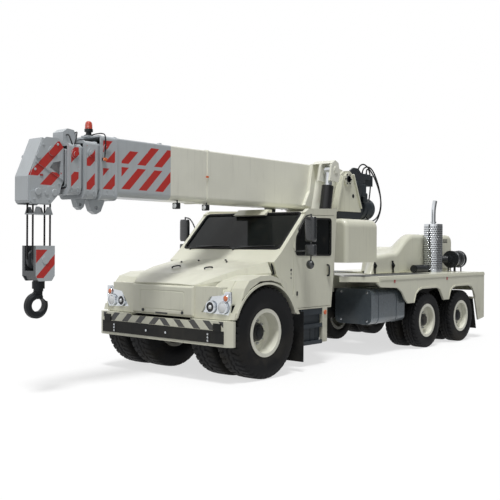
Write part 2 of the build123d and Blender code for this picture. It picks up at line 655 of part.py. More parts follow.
# Boom head: two cheeks, a folded front plate, diagonal ribs, bosses and the lower plates for the sheaves
head_cheek = [(2668, 2760), (2668, 3180), (2760, 3300), (2930, 3300), (2985, 3262), (3100, 3000),
              (3185, 2760),
              (3185, 2470), (3155, 2440), (2880, 2440), (2725, 2600), (2705, 2690)]
head_window = [(2715, 2820), (2715, 3010), (2830, 2985), (2880, 2915)]
head_lower = [(3176, 2602), (2796, 2688), (2738, 2600), (2886, 2450), (3150, 2450), (3176, 2476)]
head_front = [(2990, 3290), (3200, 2790), (3200, 2490), (3176, 2456), (3150, 2470), (3168, 2496),
              (3168, 2784),
              (2958, 3274)]
with BuildPart() as boom_head:
    across_both(head_cheek, head_half_width - 25, head_half_width)
    across_both(head_window, head_half_width - 30, head_half_width + 5, mode=Mode.SUBTRACT)
    across(head_front, -head_half_width + 8, head_half_width - 8)
    across([(2668, 2780), (2668, 3170), (2686, 3170), (2686, 2780)], -head_half_width + 10,
           head_half_width - 10)
    across([(2770, 3276), (2925, 3276), (2925, 3292), (2770, 3292)], -head_half_width + 10,
           head_half_width - 10)
    across_both(head_lower, head_half_width - 2, head_half_width + 12)
    across_both([(3094, 2985), (2680, 2778), (2686, 2765), (3100, 2972)], head_half_width - 2,
                head_half_width + 10)
    rod_y_both(2842, 3130, 62, head_half_width - 2, head_half_width + 12)
    rod_y_both(3058, 3050, 32, head_half_width - 2, head_half_width + 14)
    rod_y(head_sheave[0], head_sheave[1], 28, -head_half_width - 20, head_half_width + 20)
boom_head.part.label = "boom_head"
export_step(boom_head.part, "parts/boom_head.step")

with BuildPart() as head_sheaves:
    for y in (-fall_y, fall_y):
        spin([(y - 22, 30), (y - 22, head_sheave_r), (y - 6, head_sheave_r - 16),
              (y + 6, head_sheave_r - 16),
              (y + 22, head_sheave_r), (y + 22, 30)], head_sheave[0], head_sheave[1])
head_sheaves.part.label = "head_sheaves"
export_step(head_sheaves.part, "parts/head_sheaves.step")

# Beacon and lamps carried by the base section
with BuildPart() as boom_lamps:
    rod((2150, 0, beacon_z), (2150, 0, 3480), 62)
    rod((2150, 0, 3480), (2150, 0, 3600), 50)
    rod((2150, 0, 3600), (2150, 0, 3612), 36)
    for x in (790, 170):
        for y in (-170, 170):
            rod((x, y, boom_z_low), (x, y, 2560), 12)
            block(x - 35, x + 40, y - 60, y + 60, 2470, 2562)
            rod((x + 38, y, 2516), (x + 50, y, 2516), 40)
    block(2090, 2160, 291, 335, 3050, 3096)
boom_lamps.part.label = "boom_lamps"
export_step(boom_lamps.part, "parts/boom_lamps.step")

with BuildPart() as reel_cover:
    across([(2470, 3251), (2440, 3380), (2480, 3440), (2580, 3450), (2650, 3400), (2655, 3251)], -110, 110)
reel_cover.part.label = "reel_cover"
export_step(reel_cover.part, "parts/reel_cover.step")

# Winch on the boom's foot
winch_side = [(-3640, 3200), (-3720, 3340), (-3880, 3430), (-4040, 3425), (-4150, 3340), (-4200, 3180),
              (-4170, 2950), (-4060, 2760), (-3950, 2710), (-3840, 2760), (-3760, 2930), (-3640, 3060)]
drum = (-3960, 3130)
with BuildPart() as winch:
    # pear-shaped side plates, drum with flanges, motor, and the bracket that bolts to the boom's foot
    across_both(winch_side, 300, 335, radius=22)
    rod_y(drum[0], drum[1], 165, -300, 300)
    rod_y_both(drum[0], drum[1], 262, 262, 300)
    rod_y_both(drum[0], drum[1], 120, 330, 352)
    rod((-4110, 0, 2660), (-4620, 0, 2660), 190)
    rod((-4610, 0, 2660), (-4700, 0, 2660), 120)
    rod((-4690, 0, 2660), (-4800, 0, 2660), 70)
    block(-4180, -4080, -318, 318, 2560, 2800)
    block(-4760, -4300, -210, 210, 3125, 3340)
    block(-4320, -4120, -318, 318, 3180, 3290)
    block(-3700, -3561, -335, 335, 3090, 3280)
winch.part.label = "winch"
export_step(winch.part, "parts/winch.step")

# Hook block: striped cheeks, open front and back where the sheaves and falls show
groove = [(-22, 30), (-22, 1.0), (-8, 0.88), (8, 0.88), (22, 1.0), (22, 30)]
cheek_low = [(block_x - block_half, block_z[1]), (block_x + block_half, block_z[1]),
             (block_x + block_half, 1535),
             (block_x + 96, block_z[0]), (block_x - 96, block_z[0]), (block_x - block_half, 1535)]
with BuildPart() as hook_block:
    across_both(cheek_low, 126, 150)
    for x in (block_x - block_half, block_x + block_half - 14):
        block(x, x + 14, -128, 128, 1535, 1600)
        block_both(x, x + 14, 96, 128, 1590, block_z[1])
    across([(block_x + 134, 1562), (block_x + 90, 1484), (block_x - 90, 1484), (block_x - 134, 1562)],
           -128, 128)
    rod((block_x, 0, block_z[0] - 4), (block_x, 0, 1500), 70)
    rod_y(block_x, block_sheave_z, 26, -156, 156)
    rod_y_both(block_x, block_sheave_z, 52, 148, 158)
    for y in (-fall_y, fall_y):
        top = fall_x - rope_r
        spin([(y + dy, r if r > 2 else r * (top + 12)) for dy, r in groove], block_x, block_sheave_z)
        rod_y(block_x, block_sheave_z, 31, y - 22, y + 22)
hook_block.part.label = "hook_block"
export_step(hook_block.part, "parts/hook_block.step")

# Falls from the head to the block, and the plate that hangs below the head
with BuildPart() as hook_ropes:
    for x in (-fall_x, fall_x):
        for y in (-fall_y, fall_y):
            rod((block_x + x, y, block_sheave_z), (block_x + x, y, head_sheave[1]), rope_r)
    block(block_x - 150, block_x + 150, -115, 115, 2314, 2334)
    for y in (-100, 100):
        across([(block_x - 142, 2330), (block_x + 142, 2330), (block_x + 105, 2415), (block_x + 52, 2415),
                (block_x + 20, 2350), (block_x - 20, 2350), (block_x - 52, 2415), (block_x - 105, 2415)],
               y - 8, y + 8)
hook_ropes.part.label = "hook_ropes"
export_step(hook_ropes.part, "parts/hook_ropes.step")

# Hook: swivel nut, shank and a turned bowl that thins toward the point
bowl_section = [(-26, 78), (-46, 100), (-46, 138), (-26, hook_outer_r), (26, hook_outer_r), (46, 138),
                (46, 100),
                (26, 78)]
with BuildPart() as hook:
    spin(bowl_section, hook_centre[0], hook_centre[1])
    rod_y(hook_throat_centre[0], hook_throat_centre[1], hook_throat_r, -60, 60, mode=Mode.SUBTRACT)
    across([(block_x - 300, 1228), (block_x - 150, 1212), (block_x - 96, 1204), (block_x - 40, 1248),
            (block_x - 36, 1420), (block_x - 300, 1420)], -60, 60, mode=Mode.SUBTRACT)
    across([(block_x - 36, 1238), (block_x + 60, 1238), (block_x + 100, 1282), (block_x + 36, 1345),
            (block_x - 36, 1345)], -40, 40)
    rod((block_x, 0, 1300), (block_x, 0, 1463), 38)
    rod((block_x, 0, 1335), (block_x, 0, 1370), 62)
    rod((block_x, 0, 1370), (block_x, 0, 1463), 80)
hook.part.label = "hook"
export_step(hook.part, "parts/hook.step")

# Rear chassis: tongue around the kingpin, rails, axles and tail member
with BuildPart() as chassis_rear:
    rise([(pivot_x + 150, -90), (pivot_x + 150, 90), (pivot_x + 60, 170), (-3150, 400), (-3150, -400),
          (pivot_x + 60, -170)], 630, 1020)
    rod((pivot_x, 0, 620), (pivot_x, 0, 1030), kingpin_r, mode=Mode.SUBTRACT)
    block_both(-7380, -3100, 300, 390, 800, 1100)
    for x in (-3200, -4200, -5690, -7300):
        block(x - 60, x + 60, -390, 390, 820, 1080)
    block(-7440, -7360, -620, 620, 760, 1120)
    for z in (820, 930):
        block(-7540, -7440, -80, 80, z, z + 40)
    rod((-7490, 0, 800), (-7490, 0, 1000), tow_pin_hole_r, mode=Mode.SUBTRACT)
chassis_rear.part.label = "chassis_rear"
export_step(chassis_rear.part, "parts/chassis_rear.step")

# Tandem axles with their balance beams
with BuildPart() as axles_rear:
    for x in rear_axle_x:
        rod_y(x, rear_tyre_r, 80, -978, 978)
        rod_y(x, rear_tyre_r, 190, -130, 130)
    block_both(-6500, -4880, 420, 500, 560, 680)
    block_both(-5780, -5600, 391, 500, 600, 1000)
axles_rear.part.label = "axles_rear"
export_step(axles_rear.part, "parts/axles_rear.step")

# Deck with a round notch for the mast, side skirts cut out over the wheels
skirt = [
    (-3150, 1300), (-3080, 1300), (-3210, 1220), (-3800, 1190), (-3950, 1110), (-4060, 980), (-4170, 890),
    (-4400, 890), (-4470, 1050), (-4570, 1110), (-4700, 1140), (-5310, 1140), (-5400, 1110), (-5480, 1030),
    (-5590, 890), (-5810, 890), (-5910, 1050), (-6000, 1110), (-6090, 1140), (-6740, 1140), (-6850, 1110),
    (-6930, 1050), (-7030, 860), (-7190, 390), (rear_end_x, 430), (rear_end_x, deck_top_z - 20),
    (-3150, deck_top_z - 20),
]
with BuildPart() as deck:
    rise([(-3150, -deck_half_width), (-3150, -1345), (-2700, -800), (-2900, -700), (-3350, 0), (-2900, 700),
          (-2700, 800), (-3150, deck_half_width), (rear_end_x, deck_half_width),
          (rear_end_x, -deck_half_width)],
         deck_top_z - deck_plate, deck_top_z)
    rod((pivot_x, 0, deck_top_z - 200), (pivot_x, 0, deck_top_z + 10), deck_notch_r, mode=Mode.SUBTRACT)
    block(-7300, -4300, -480, 480, deck_top_z - 100, deck_top_z + 10, mode=Mode.SUBTRACT)
deck.part.label = "deck"
export_step(deck.part, "parts/deck.step")

with BuildPart() as deck_skirts:
    top = deck_top_z - deck_plate
    across_both([(x, min(z, top)) for x, z in skirt], deck_half_width - 30, deck_half_width)
    # raised lips that follow the arches
    for x0, x1 in ((-4400, -5590), (-5810, -7030)):
        lip = [(x0, 890), (x0 - 70, 1050), (x0 - 170, 1110), (x0 - 290, 1140), (x1 + 290, 1140),
               (x1 + 180, 1110),
               (x1 + 100, 1030), (x1, 880)]
        rim = [(x, z + 32) for x, z in lip]
        across_both(lip + rim[::-1], deck_half_width - 2, deck_half_width + 12)
    block_both(rear_end_x, -3190, deck_half_width - 2, deck_half_width + 10, top - 34, top)
    for side in (1, -1):
        rise([(-2700, side * 800), (-3150, side * deck_half_width), (-3190, side * 1320),
              (-2740, side * 775)],
             1310, top)
    rod((pivot_x, 0, top - 200), (pivot_x, 0, top + 10), deck_notch_r, mode=Mode.SUBTRACT)
    # tail plate, and bearers that carry the deck on the rails and the mudflaps behind the wheels
    block(rear_end_x, rear_end_x + 30, -deck_half_width, deck_half_width, 1000, top)
    block_both(-7300, -3600, 391, 480, 1080, top)
    block_both(-7012, -6972, 690, deck_half_width - 20, 850, 890)
deck_skirts.part.label = "deck_skirts"
export_step(deck_skirts.part, "parts/deck_skirts.step")

# Tanks below the deck
with BuildPart() as tanks:
    for side in (1, -1):
        low, high = sorted((side * 490, side * 1250))
        along([(low, 560), (high, 560), (high, 1185), (low, 1185)], tank_x[0], tank_x[1], radius=110)
        low, high = sorted((side * 484, side * 1256))
        for x in (tank_x[0] + 240, tank_x[1] - 300):
            along([(low, 554), (high, 554), (high, 1191), (low, 1191)], x, x + 60, radius=116)
        block(-3900, -3300, side * 391, side * 491, 900, 1050)
tanks.part.label = "tanks"
export_step(tanks.part, "parts/tanks.step")

# Engine as one plain block, and its hood
with BuildPart() as engine:
    block(-7150, -4700, -280, 280, 1105, 1330)
    block(-7100, -5700, -380, 380, 1330, 1900)
engine.part.label = "engine"
export_step(engine.part, "parts/engine.step")

hood_half_width = 540
hood_hinge = (-545, deck_top_z + 12)
hood_outline = [(-4150, deck_top_z + 6), (-4420, 1770), (-5080, 1815), (-5270, 1950), (-5600, 2150),
                (-5800, 2185),
                (-7480, 2200), (-7550, 2140), (-7550, deck_top_z + 6)]
hood_hollow = [(-4220, deck_top_z - 10), (-4490, 1715), (-5110, 1755), (-5320, 1895), (-5640, 2090),
               (-5820, 2120),
               (-7440, 2134), (-7515, 2100), (-7515, deck_top_z - 10)]
with BuildPart() as engine_hood:
    across(hood_outline, -hood_half_width, hood_half_width)
    shoulders = engine_hood.edges().filter_by(Plane.XZ).filter_by(
        lambda edge: edge.bounding_box().min.Z > deck_top_z + 60)
    fillet(shoulders, 60)
    across(hood_hollow, -hood_half_width + 25, hood_half_width - 25, mode=Mode.SUBTRACT)
    for x in (-4700, -5850, -7000):
        rod((x, hood_hinge[0], hood_hinge[1]), (x + 100, hood_hinge[0], hood_hinge[1]), 10)
    # air slots high on both sides at the rear, and the radiator grille in the rear wall
    for z in (2040, 2066, 2092):
        block_both(-7380, -7150, hood_half_width - 40, hood_half_width + 5, z, z + 12, mode=Mode.SUBTRACT)
    for z in range(1560, 2040, 60):
        block(-7560, -7500, -400, 400, z, z + 30, mode=Mode.SUBTRACT)
    block(-7545, -7520, -12, 12, 1545, 2040)
engine_hood.part.label = "engine_hood"
export_step(engine_hood.part, "parts/engine_hood.step")

shield_r = 172
shield_slots = 7
with BuildPart() as exhaust:
    with Locations((front_axle_x + exhaust_at[0], exhaust_at[1], (deck_top_z + 2410) / 2)):
        Cylinder(shield_r, 2410 - deck_top_z)
        Cylinder(shield_r - 6, 2410 - deck_top_z + 4, mode=Mode.SUBTRACT)
        for level in (-320, -107, 107, 320):
            for turn in range(shield_slots):
                with Locations(Location((0, 0, level), (0, 0, 180 * turn / shield_slots))):
                    Box(400, 24, 150, mode=Mode.SUBTRACT)
    muffler = [(exhaust_at[0], exhaust_at[1], z) for z in (deck_top_z, 2392)]
    rod(muffler[0], muffler[1], 120)
    rod((exhaust_at[0], exhaust_at[1], deck_top_z), (exhaust_at[0], exhaust_at[1], deck_top_z + 12),
        shield_r - 2)
    rod((exhaust_at[0], exhaust_at[1], 2380), (exhaust_at[0], exhaust_at[1], 2392), shield_r - 2)
    rod((exhaust_at[0], exhaust_at[1], 2390), (exhaust_at[0], exhaust_at[1], 2720), 52)
    rod((exhaust_at[0], exhaust_at[1], 2706), (exhaust_at[0] - 70, exhaust_at[1], 2900), 46)
    rod((exhaust_at[0] - 40, exhaust_at[1], 2817), (exhaust_at[0] - 71, exhaust_at[1], 2903), 38,
        mode=Mode.SUBTRACT)
exhaust.part.label = "exhaust"
export_step(exhaust.part, "parts/exhaust.step")

with BuildPart() as air_cleaner:
    cleaner_y = 800
    cleaner_z = 1670
    rod((-6960, cleaner_y, cleaner_z), (-7400, cleaner_y, cleaner_z), 172)
    for x, r in ((-6990, 186), (-7180, 178), (-7370, 186)):
        rod((x, cleaner_y, cleaner_z), (x - 30, cleaner_y, cleaner_z), r)
    rod((-7395, cleaner_y, cleaner_z), (-7430, cleaner_y, cleaner_z), 150)
    rod((-6970, cleaner_y, cleaner_z), (-6860, cleaner_y, cleaner_z), 78)
    rod((-6870, cleaner_y + 6, cleaner_z), (-6800, 630, cleaner_z), 74)
    for x in (-7050, -7330):
        for y in (720, 880):
            rod((x, y, deck_top_z), (x, y, 1560), 14)
    rod((-5560, 700, deck_top_z + 80), (-6060, 700, deck_top_z + 80), 80)
    rod((-5540, 700, deck_top_z + 80), (-5565, 700, deck_top_z + 80), 66)
air_cleaner.part.label = "air_cleaner"
export_step(air_cleaner.part, "parts/air_cleaner.step")

with BuildPart() as mudflaps_rear:
    across_both([(-6985, 850), (-7150, 210), (-7165, 210), (-7000, 850)], 690, 1318)
mudflaps_rear.part.label = "mudflaps_rear"
export_step(mudflaps_rear.part, "parts/mudflaps_rear.step")

# Tail lamps on the rear edge of the deck and round reflectors along its skirts
with BuildPart() as tail_lamps:
    block_both(rear_end_x - 24, rear_end_x, 1090, 1310, 1200, 1300)
    block_both(rear_end_x - 24, rear_end_x, 1250, 1310, 1060, 1160)
    for x in (-3680, -5730):
        block_both(x - 24, x + 24, deck_half_width, deck_half_width + 8, 1285, 1340)
tail_lamps.part.label = "tail_lamps"
export_step(tail_lamps.part, "parts/tail_lamps.step")
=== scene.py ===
# %% [markdown]
# # Mobile crane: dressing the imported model
#
# The solids come from the CAD part and already stand in metres, with +X forward, +Y left and
# the ground at z = 0. This notebook adds what CAD leaves out: tread, seals, bolts, hoses, lenses
# and every finish. Each new piece rides on the body that carries it, so it moves with the joints.

import bpy
import numpy as np
from mathutils import Matrix


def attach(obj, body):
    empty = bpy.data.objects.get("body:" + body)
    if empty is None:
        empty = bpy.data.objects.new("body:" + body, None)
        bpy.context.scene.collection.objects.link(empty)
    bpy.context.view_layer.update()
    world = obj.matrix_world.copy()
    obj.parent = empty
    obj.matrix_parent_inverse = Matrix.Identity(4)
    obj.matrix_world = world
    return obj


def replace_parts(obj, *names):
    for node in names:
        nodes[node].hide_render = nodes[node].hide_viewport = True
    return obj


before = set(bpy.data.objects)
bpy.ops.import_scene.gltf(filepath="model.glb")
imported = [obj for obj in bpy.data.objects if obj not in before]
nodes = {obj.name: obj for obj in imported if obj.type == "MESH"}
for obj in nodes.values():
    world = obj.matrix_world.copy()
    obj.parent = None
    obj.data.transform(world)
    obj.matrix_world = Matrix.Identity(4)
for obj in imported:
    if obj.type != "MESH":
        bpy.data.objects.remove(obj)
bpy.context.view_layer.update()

# %% [markdown]
# ## Camera
# A long lens from the left front corner, a little below head height, gives the gentle
# perspective of a catalogue picture. The camera is written as a position and three angles, and
# its matrix is built from its own right, up and forward directions.

# %% Camera
def add(name, data):
    """New object with the given data, linked to the scene."""
    made = bpy.data.objects.new(name, data)
    bpy.context.scene.collection.objects.link(made)
    return made


eye = np.array([11.208, 8.709, 1.943])
yaw, pitch, roll = np.radians([40.281, 0.338, 0.391])
forward = np.array([-np.cos(yaw) * np.cos(pitch), -np.sin(yaw) * np.cos(pitch), -np.sin(pitch)])
right = np.cross(forward, [0, 0, 1])
right /= np.linalg.norm(right)
up = np.cross(right, forward)
right, up = np.cos(roll) * right + np.sin(roll) * up, np.cos(roll) * up - np.sin(roll) * right
camera_data = bpy.data.cameras.new("studio_camera")
camera_data.lens = 57.86
camera_data.sensor_width = 36.0
camera = add("studio_camera", camera_data)
turn = np.eye(4)
turn[:3, 0], turn[:3, 1], turn[:3, 2], turn[:3, 3] = right, up, -forward, eye
camera.matrix_world = Matrix(turn.tolist())
bpy.context.scene.camera = camera
bpy.context.scene.view_settings.view_transform = "Standard"
print("camera at", eye.round(3), "looking", forward.round(3))

# %% [markdown]
# ## Shader maths as Python
# A node tree is easier to read as a formula. `Number` wraps one socket and overloads the
# arithmetic signs, so `1 - mask * 0.4` adds its own Math nodes. `Finish` is one material: its
# method `node` makes any other node, sets its settings first and then its sockets, and a few
# short methods name the mixtures that come back again and again.

# %% Number: a socket in a formula
class Number:
    """A socket that can be added, multiplied and so on; each sign becomes one Math node."""

    def __init__(self, finish, socket):
        self.finish, self.socket = finish, socket

    def math(self, operation, *values):
        """One Math node over the values, in their order."""
        return self.finish.node("ShaderNodeMath", {"operation": operation}, dict(enumerate(values)))

    def __add__(self, other): return self.math("ADD", self, other)
    def __sub__(self, other): return self.math("SUBTRACT", self, other)
    def __rsub__(self, other): return self.math("SUBTRACT", other, self)
    def __mul__(self, other): return self.math("MULTIPLY", self, other)
    def __truediv__(self, other): return self.math("DIVIDE", self, other)
    def __abs__(self): return self.math("ABSOLUTE", self)
    __radd__ = __add__
    __rmul__ = __mul__

    def fraction(self):
        """What is left above the whole number, which is a saw-tooth."""
        return self.math("FRACT", self)

    def part(self, name):
        """Another output of the same node."""
        return Number(self.finish, self.socket.node.outputs[name])


print("Number: + - * / and abs each add one Math node")

# %% [markdown]
# A finish could be a chain of nodes drawn by hand, but written once as a class it serves every
# paint, metal and plastic here. All noise reads Object coordinates, so it has the same grain on
# every part and stays on the part when a joint moves.

# %% Finish: a material under construction
def srgb(red, green, blue):
    """Linear RGBA of a colour written 0 to 255: c / 12.92 if c <= 0.04045, or else
    ((c + 0.055) / 1.055)^2.4, with c the value / 255."""
    c = np.array([red, green, blue]) / 255
    linear = np.where(c <= 0.04045, c / 12.92, ((c + 0.055) / 1.055) ** 2.4)
    return (*linear.tolist(), 1.0)


class Finish:
    """One procedural material that reads Object coordinates."""

    def __init__(self, name, **constants):
        self.material = bpy.data.materials.new(name)
        self.material.use_nodes = True
        self.tree = self.material.node_tree
        self.shader = self.tree.nodes["Principled BSDF"]
        for socket, value in constants.items():
            self.shader.inputs[socket.replace("_", " ")].default_value = value
        self.place = self.node("ShaderNodeTexCoord", {}, {}, "Object")
        split = self.node("ShaderNodeSeparateXYZ", {}, {0: self.place})
        self.x, self.y, self.z = split, split.part("Y"), split.part("Z")
        face = self.node("ShaderNodeNewGeometry", {}, {}, "Normal")
        lean = self.node("ShaderNodeSeparateXYZ", {}, {0: face})
        self.face_y, self.face_z = lean.part("Y"), lean.part("Z")

    def node(self, kind, settings=None, sockets=None, output=0):
        """Any node: its type, its settings, then the value or link of each socket."""
        made = self.tree.nodes.new(kind)
        for name, value in (settings or {}).items():
            setattr(made, name, value)
        for key, value in (sockets or {}).items():
            if isinstance(value, Number):
                self.tree.links.new(value.socket, made.inputs[key])
            else:
                made.inputs[key].default_value = value
        return Number(self, made.outputs[output])

    def feed(self, socket, value):
        """Links a number or a colour to a socket of the shader."""
        self.tree.links.new(value.socket, self.shader.inputs[socket])

    def blend(self, mask, below, above):
        """Colour `below` where the mask is 0 and `above` where it is 1."""
        return self.node("ShaderNodeMix", {"data_type": "RGBA"}, {0: mask, 6: below, 7: above}, 2)

    def ease(self, value, low, high):
        """Smooth step from 0 at low to 1 at high."""
        return self.node("ShaderNodeMapRange", {"interpolation_type": "SMOOTHSTEP"},
                         {"Value": value, "From Min": low, "From Max": high})

    def noise(self, scale, detail=3.0, stretch=(1.0, 1.0, 1.0)):
        """Cloudy noise, 0 to 1, in Object coordinates stretched along the axes."""
        place = self.node("ShaderNodeMapping", {}, {"Vector": self.place, "Scale": stretch})
        return self.node("ShaderNodeTexNoise", {},
                         {"Vector": place, "Scale": scale, "Detail": detail})

    def flutes(self, direction, scale):
        """Ribs that cross the given axis, as a wave from 0 to 1."""
        return self.node("ShaderNodeTexWave", {"bands_direction": direction},
                         {"Vector": self.place, "Scale": scale})

    def bump(self, height, distance):
        """Relief of the given depth in metres."""
        self.feed("Normal", self.node("ShaderNodeBump", {},
                                      {"Distance": distance, "Height": height}))


print("srgb test, mid grey:", [round(v, 3) for v in srgb(128, 128, 128)])

# %% [markdown]
# ## Weathered paint
# A yard machine is washed and used: its paint stays even, with faint clouds in the tone, rain
# streaks down the sides, dust near the wheels and on what faces up. The same layers suit every
# painted part, so one recipe takes the base colour, or a mask-built colour such as the warning
# stripes, and lays them over it. Streaks are only noise squeezed in x and y.

# %% Weathered paint
grime = srgb(112, 106, 94)
road_dust = srgb(142, 134, 118)


def weather(finish, colour, rough, dust=0.5, orange_peel=0.0004, clouds=0.16):
    """Adds clouds, streaks, dust, uneven gloss and the ripple of sprayed paint. Each layer blends
    the colour by its mask, and roughness = rough + 0.10 * cloud + 0.45 * dust."""
    cloud = finish.ease(finish.noise(1.3, 5.0), 0.36, 0.68)
    streak = finish.ease(finish.noise(5.0, 4.0, (3.0, 3.0, 0.22)), 0.52, 0.78)
    upright = 1 - finish.ease(abs(finish.face_z), 0.35, 0.7)
    patch = finish.ease(finish.noise(3.6, 7.0), 0.38, 0.66)
    low = 1 - finish.ease(finish.z, 0.35, 1.25)
    lying = finish.ease(finish.face_z, 0.8, 0.99) * patch * 0.16
    colour = finish.blend(cloud * clouds * 0.5, colour, grime)
    colour = finish.blend(streak * upright * clouds * 0.75, colour, grime)
    dusty = low * (0.35 + patch * 0.65) * dust
    colour = finish.blend(dusty + lying, colour, road_dust)
    finish.feed("Base Color", colour)
    finish.feed("Roughness", rough + cloud * 0.10 + (dusty + lying) * 0.45)
    finish.bump(finish.noise(260.0, 2.0) * 0.5 + finish.noise(7.0, 2.0), orange_peel)
    return finish


def dress(finish, *names):
    """Gives CAD nodes their finish in place of the plain imported one."""
    for name in names:
        mesh = nodes[name].data
        mesh.materials.clear()
        mesh.materials.append(finish.material)


print("dust colour, linear:", [round(v, 3) for v in road_dust])

# %% [markdown]
# Four paints cover the machine: cream for the cab and deck, grey for the boom's last section,
# slate for the winch, and the bumper's black. They differ only in colour, gloss and dust.

# %% Paints
cream = srgb(224, 224, 206)
silver_grey = srgb(192, 198, 202)
cream_paint = weather(Finish("cream_paint", Coat_Weight=0.25, Coat_Roughness=0.12), cream, 0.34)
grey_paint = weather(Finish("grey_paint", Coat_Weight=0.2, Coat_Roughness=0.15), silver_grey, 0.38)
slate_paint = weather(Finish("slate_paint", Coat_Weight=0.15, Coat_Roughness=0.2,
                             Specular_IOR_Level=0.3), srgb(45, 51, 57), 0.36,
                      dust=0.15, clouds=0.08)
bumper_black = weather(Finish("bumper_black", Specular_IOR_Level=0.15), srgb(22, 25, 27), 0.42,
                       dust=0.08, clouds=0.06)
dress(cream_paint, "cab_shell", "front_wings", "bonnet", "door_left", "door_right", "mast",
      "counterweights", "deck", "deck_skirts", "visor")
dress(slate_paint, "winch", "boom_foot_pin", "head_sheaves")
dress(bumper_black, "bumper_plate")
print("paints ready: cream, grey, slate, black")

# %% [markdown]
# ## Warning stripes on the boom
# The boom is cream, and its front end is silver grey with slanting red bars in two rows. The
# bars run where x + z is constant, so one saw-tooth of x + z gives the stripes, and boxes in x
# and z cut the rows. They sit only on faces that look sideways. Each collar gets the same bars.

# %% Warning stripes on the boom
axle_x = 2.175
warning_red = srgb(203, 44, 38)


def band(finish, value, low, high):
    """1 between low and high, with edges 2 mm soft: ease at low times (1 - ease at high)."""
    soft = 0.001
    return (finish.ease(value, low - soft, low + soft)
            * (1 - finish.ease(value, high - soft, high + soft)))


def bars(finish, x_low, x_high, rows, pitch=0.315, share=0.49, start=4.35):
    """Slanted bars where the fraction of (x + z - start) / pitch is under `share`, inside x_low to
    x_high, measured from the front axle, and inside each row of z."""
    along = finish.x - axle_x
    saw = ((along + finish.z - start) / pitch).fraction()
    inside = sum(band(finish, finish.z, *row) for row in rows)
    on_side = finish.ease(abs(finish.face_y), 0.80, 0.90)
    return band(finish, saw, 0.004, share) * band(finish, along, x_low, x_high) * inside * on_side


print("bars every 0.315 m of x + z")

# %% [markdown]
# The base section's upper row steps down where the plate under it ends, so its bars are cut in
# two boxes. The two collars take the same recipe with their own boxes.

# %% Boom paint
base_boom = Finish("base_boom_paint", Coat_Weight=0.25, Coat_Roughness=0.12)
grey_from, row_steps_at, upper_start = 0.872, 1.32, 4.41
front_part = base_boom.ease(base_boom.x - axle_x, grey_from - 0.004, grey_from)
red_bars = (bars(base_boom, grey_from, 1.80, [(2.70, 3.00)])
            + bars(base_boom, grey_from, row_steps_at, [(3.05, 3.31)], start=upper_start)
            + bars(base_boom, row_steps_at, 1.80, [(3.05, 3.23)], start=upper_start)
            + bars(base_boom, 1.925, 2.13, [(2.68, 2.96), (3.04, 3.33)]))
# Painted light: the boom has the cab's cream paint, made lighter here so that its sides come out
# brighter than the cab's.
lit_boom_cream = srgb(243, 243, 230)
plain_boom_with_lit_cream = base_boom.blend(front_part, lit_boom_cream, silver_grey)
weather(base_boom, base_boom.blend(red_bars, plain_boom_with_lit_cream, warning_red), 0.34)
dress(base_boom, "boom_base")
for node, x_low, x_high, rows in (
        ("boom_section_2", 2.25, 2.385, ((2.66, 2.90), (2.97, 3.24))),
        ("boom_section_3", 2.50, 2.62, ((2.68, 2.88), (2.94, 3.20)))):
    collar = Finish(node + "_paint", Coat_Weight=0.2, Coat_Roughness=0.15)
    weather(collar, collar.blend(bars(collar, x_low, x_high, rows), silver_grey, warning_red), 0.38)
    dress(collar, node)
dress(grey_paint, "boom_section_4", "reel_cover")
print("striped: boom_base and two collars")

# %% [markdown]
# The head's cheeks and the hook block carry two wide bars each. These are not a regular
# saw-tooth, so each bar is a band of x + z of its own, cut to a range of height.

# %% Bars on the head and the hook block
def wide_bars(name, outer, *pieces):
    """Paint with single slanted bars, only beyond |y| = outer, so that what turns between the
    cheeks stays plain: each piece is (x+z low, x+z high, z low, z high)."""
    finish = Finish(name, Coat_Weight=0.2, Coat_Roughness=0.15)
    slant = finish.x - axle_x + finish.z
    on_side = finish.ease(abs(finish.face_y), 0.80, 0.90)
    red = sum(band(finish, slant, low, high) * band(finish, finish.z, z_low, z_high)
              for low, high, z_low, z_high in pieces)
    cheek = finish.ease(abs(finish.y), outer - 0.001, outer + 0.001)
    inner = finish.blend(cheek, srgb(72, 76, 80), silver_grey)
    return weather(finish, finish.blend(red * on_side * cheek, inner, warning_red), 0.38)


head_paint = wide_bars("head_paint", 0.0, (5.55, 5.72, 2.69, 2.86), (5.86, 6.02, 2.80, 3.26))
block_paint = wide_bars("block_paint", 0.145, (4.48, 4.61, 1.51, 1.87), (4.78, 5.20, 1.53, 1.87))
dress(head_paint, "boom_head")
dress(block_paint, "hook_block")
print("wide bars on boom_head and hook_block")

# %% [markdown]
# ## Bumper bars
# The bumper's upper strip is cream with dark bars that lean outwards at the bottom, mirrored
# about the middle. |y| minus the drop below the top edge, times the slope, is constant along a bar.

# %% Bumper bars
bumper_paint = Finish("bumper_paint", Coat_Weight=0.2, Coat_Roughness=0.15)
top_edge, slope, bar_pitch = 0.885, 1.07, 0.305
lean = abs(bumper_paint.y) - (top_edge - bumper_paint.z) * slope + 0.04
saw = (lean / bar_pitch + 4.0).fraction()
dark_bars = (band(bumper_paint, saw, 0.004, 0.44) * band(bumper_paint, bumper_paint.z, 0.755, 0.882)
             * bumper_paint.ease(bumper_paint.x - axle_x, 0.814, 0.818)
             * (1 - bumper_paint.ease(abs(bumper_paint.y), 1.275, 1.28)))
weather(bumper_paint, bumper_paint.blend(dark_bars, cream, srgb(36, 40, 43)), 0.36, dust=0.2)
dress(bumper_paint, "bumper")
print("bumper bars every", bar_pitch, "m")
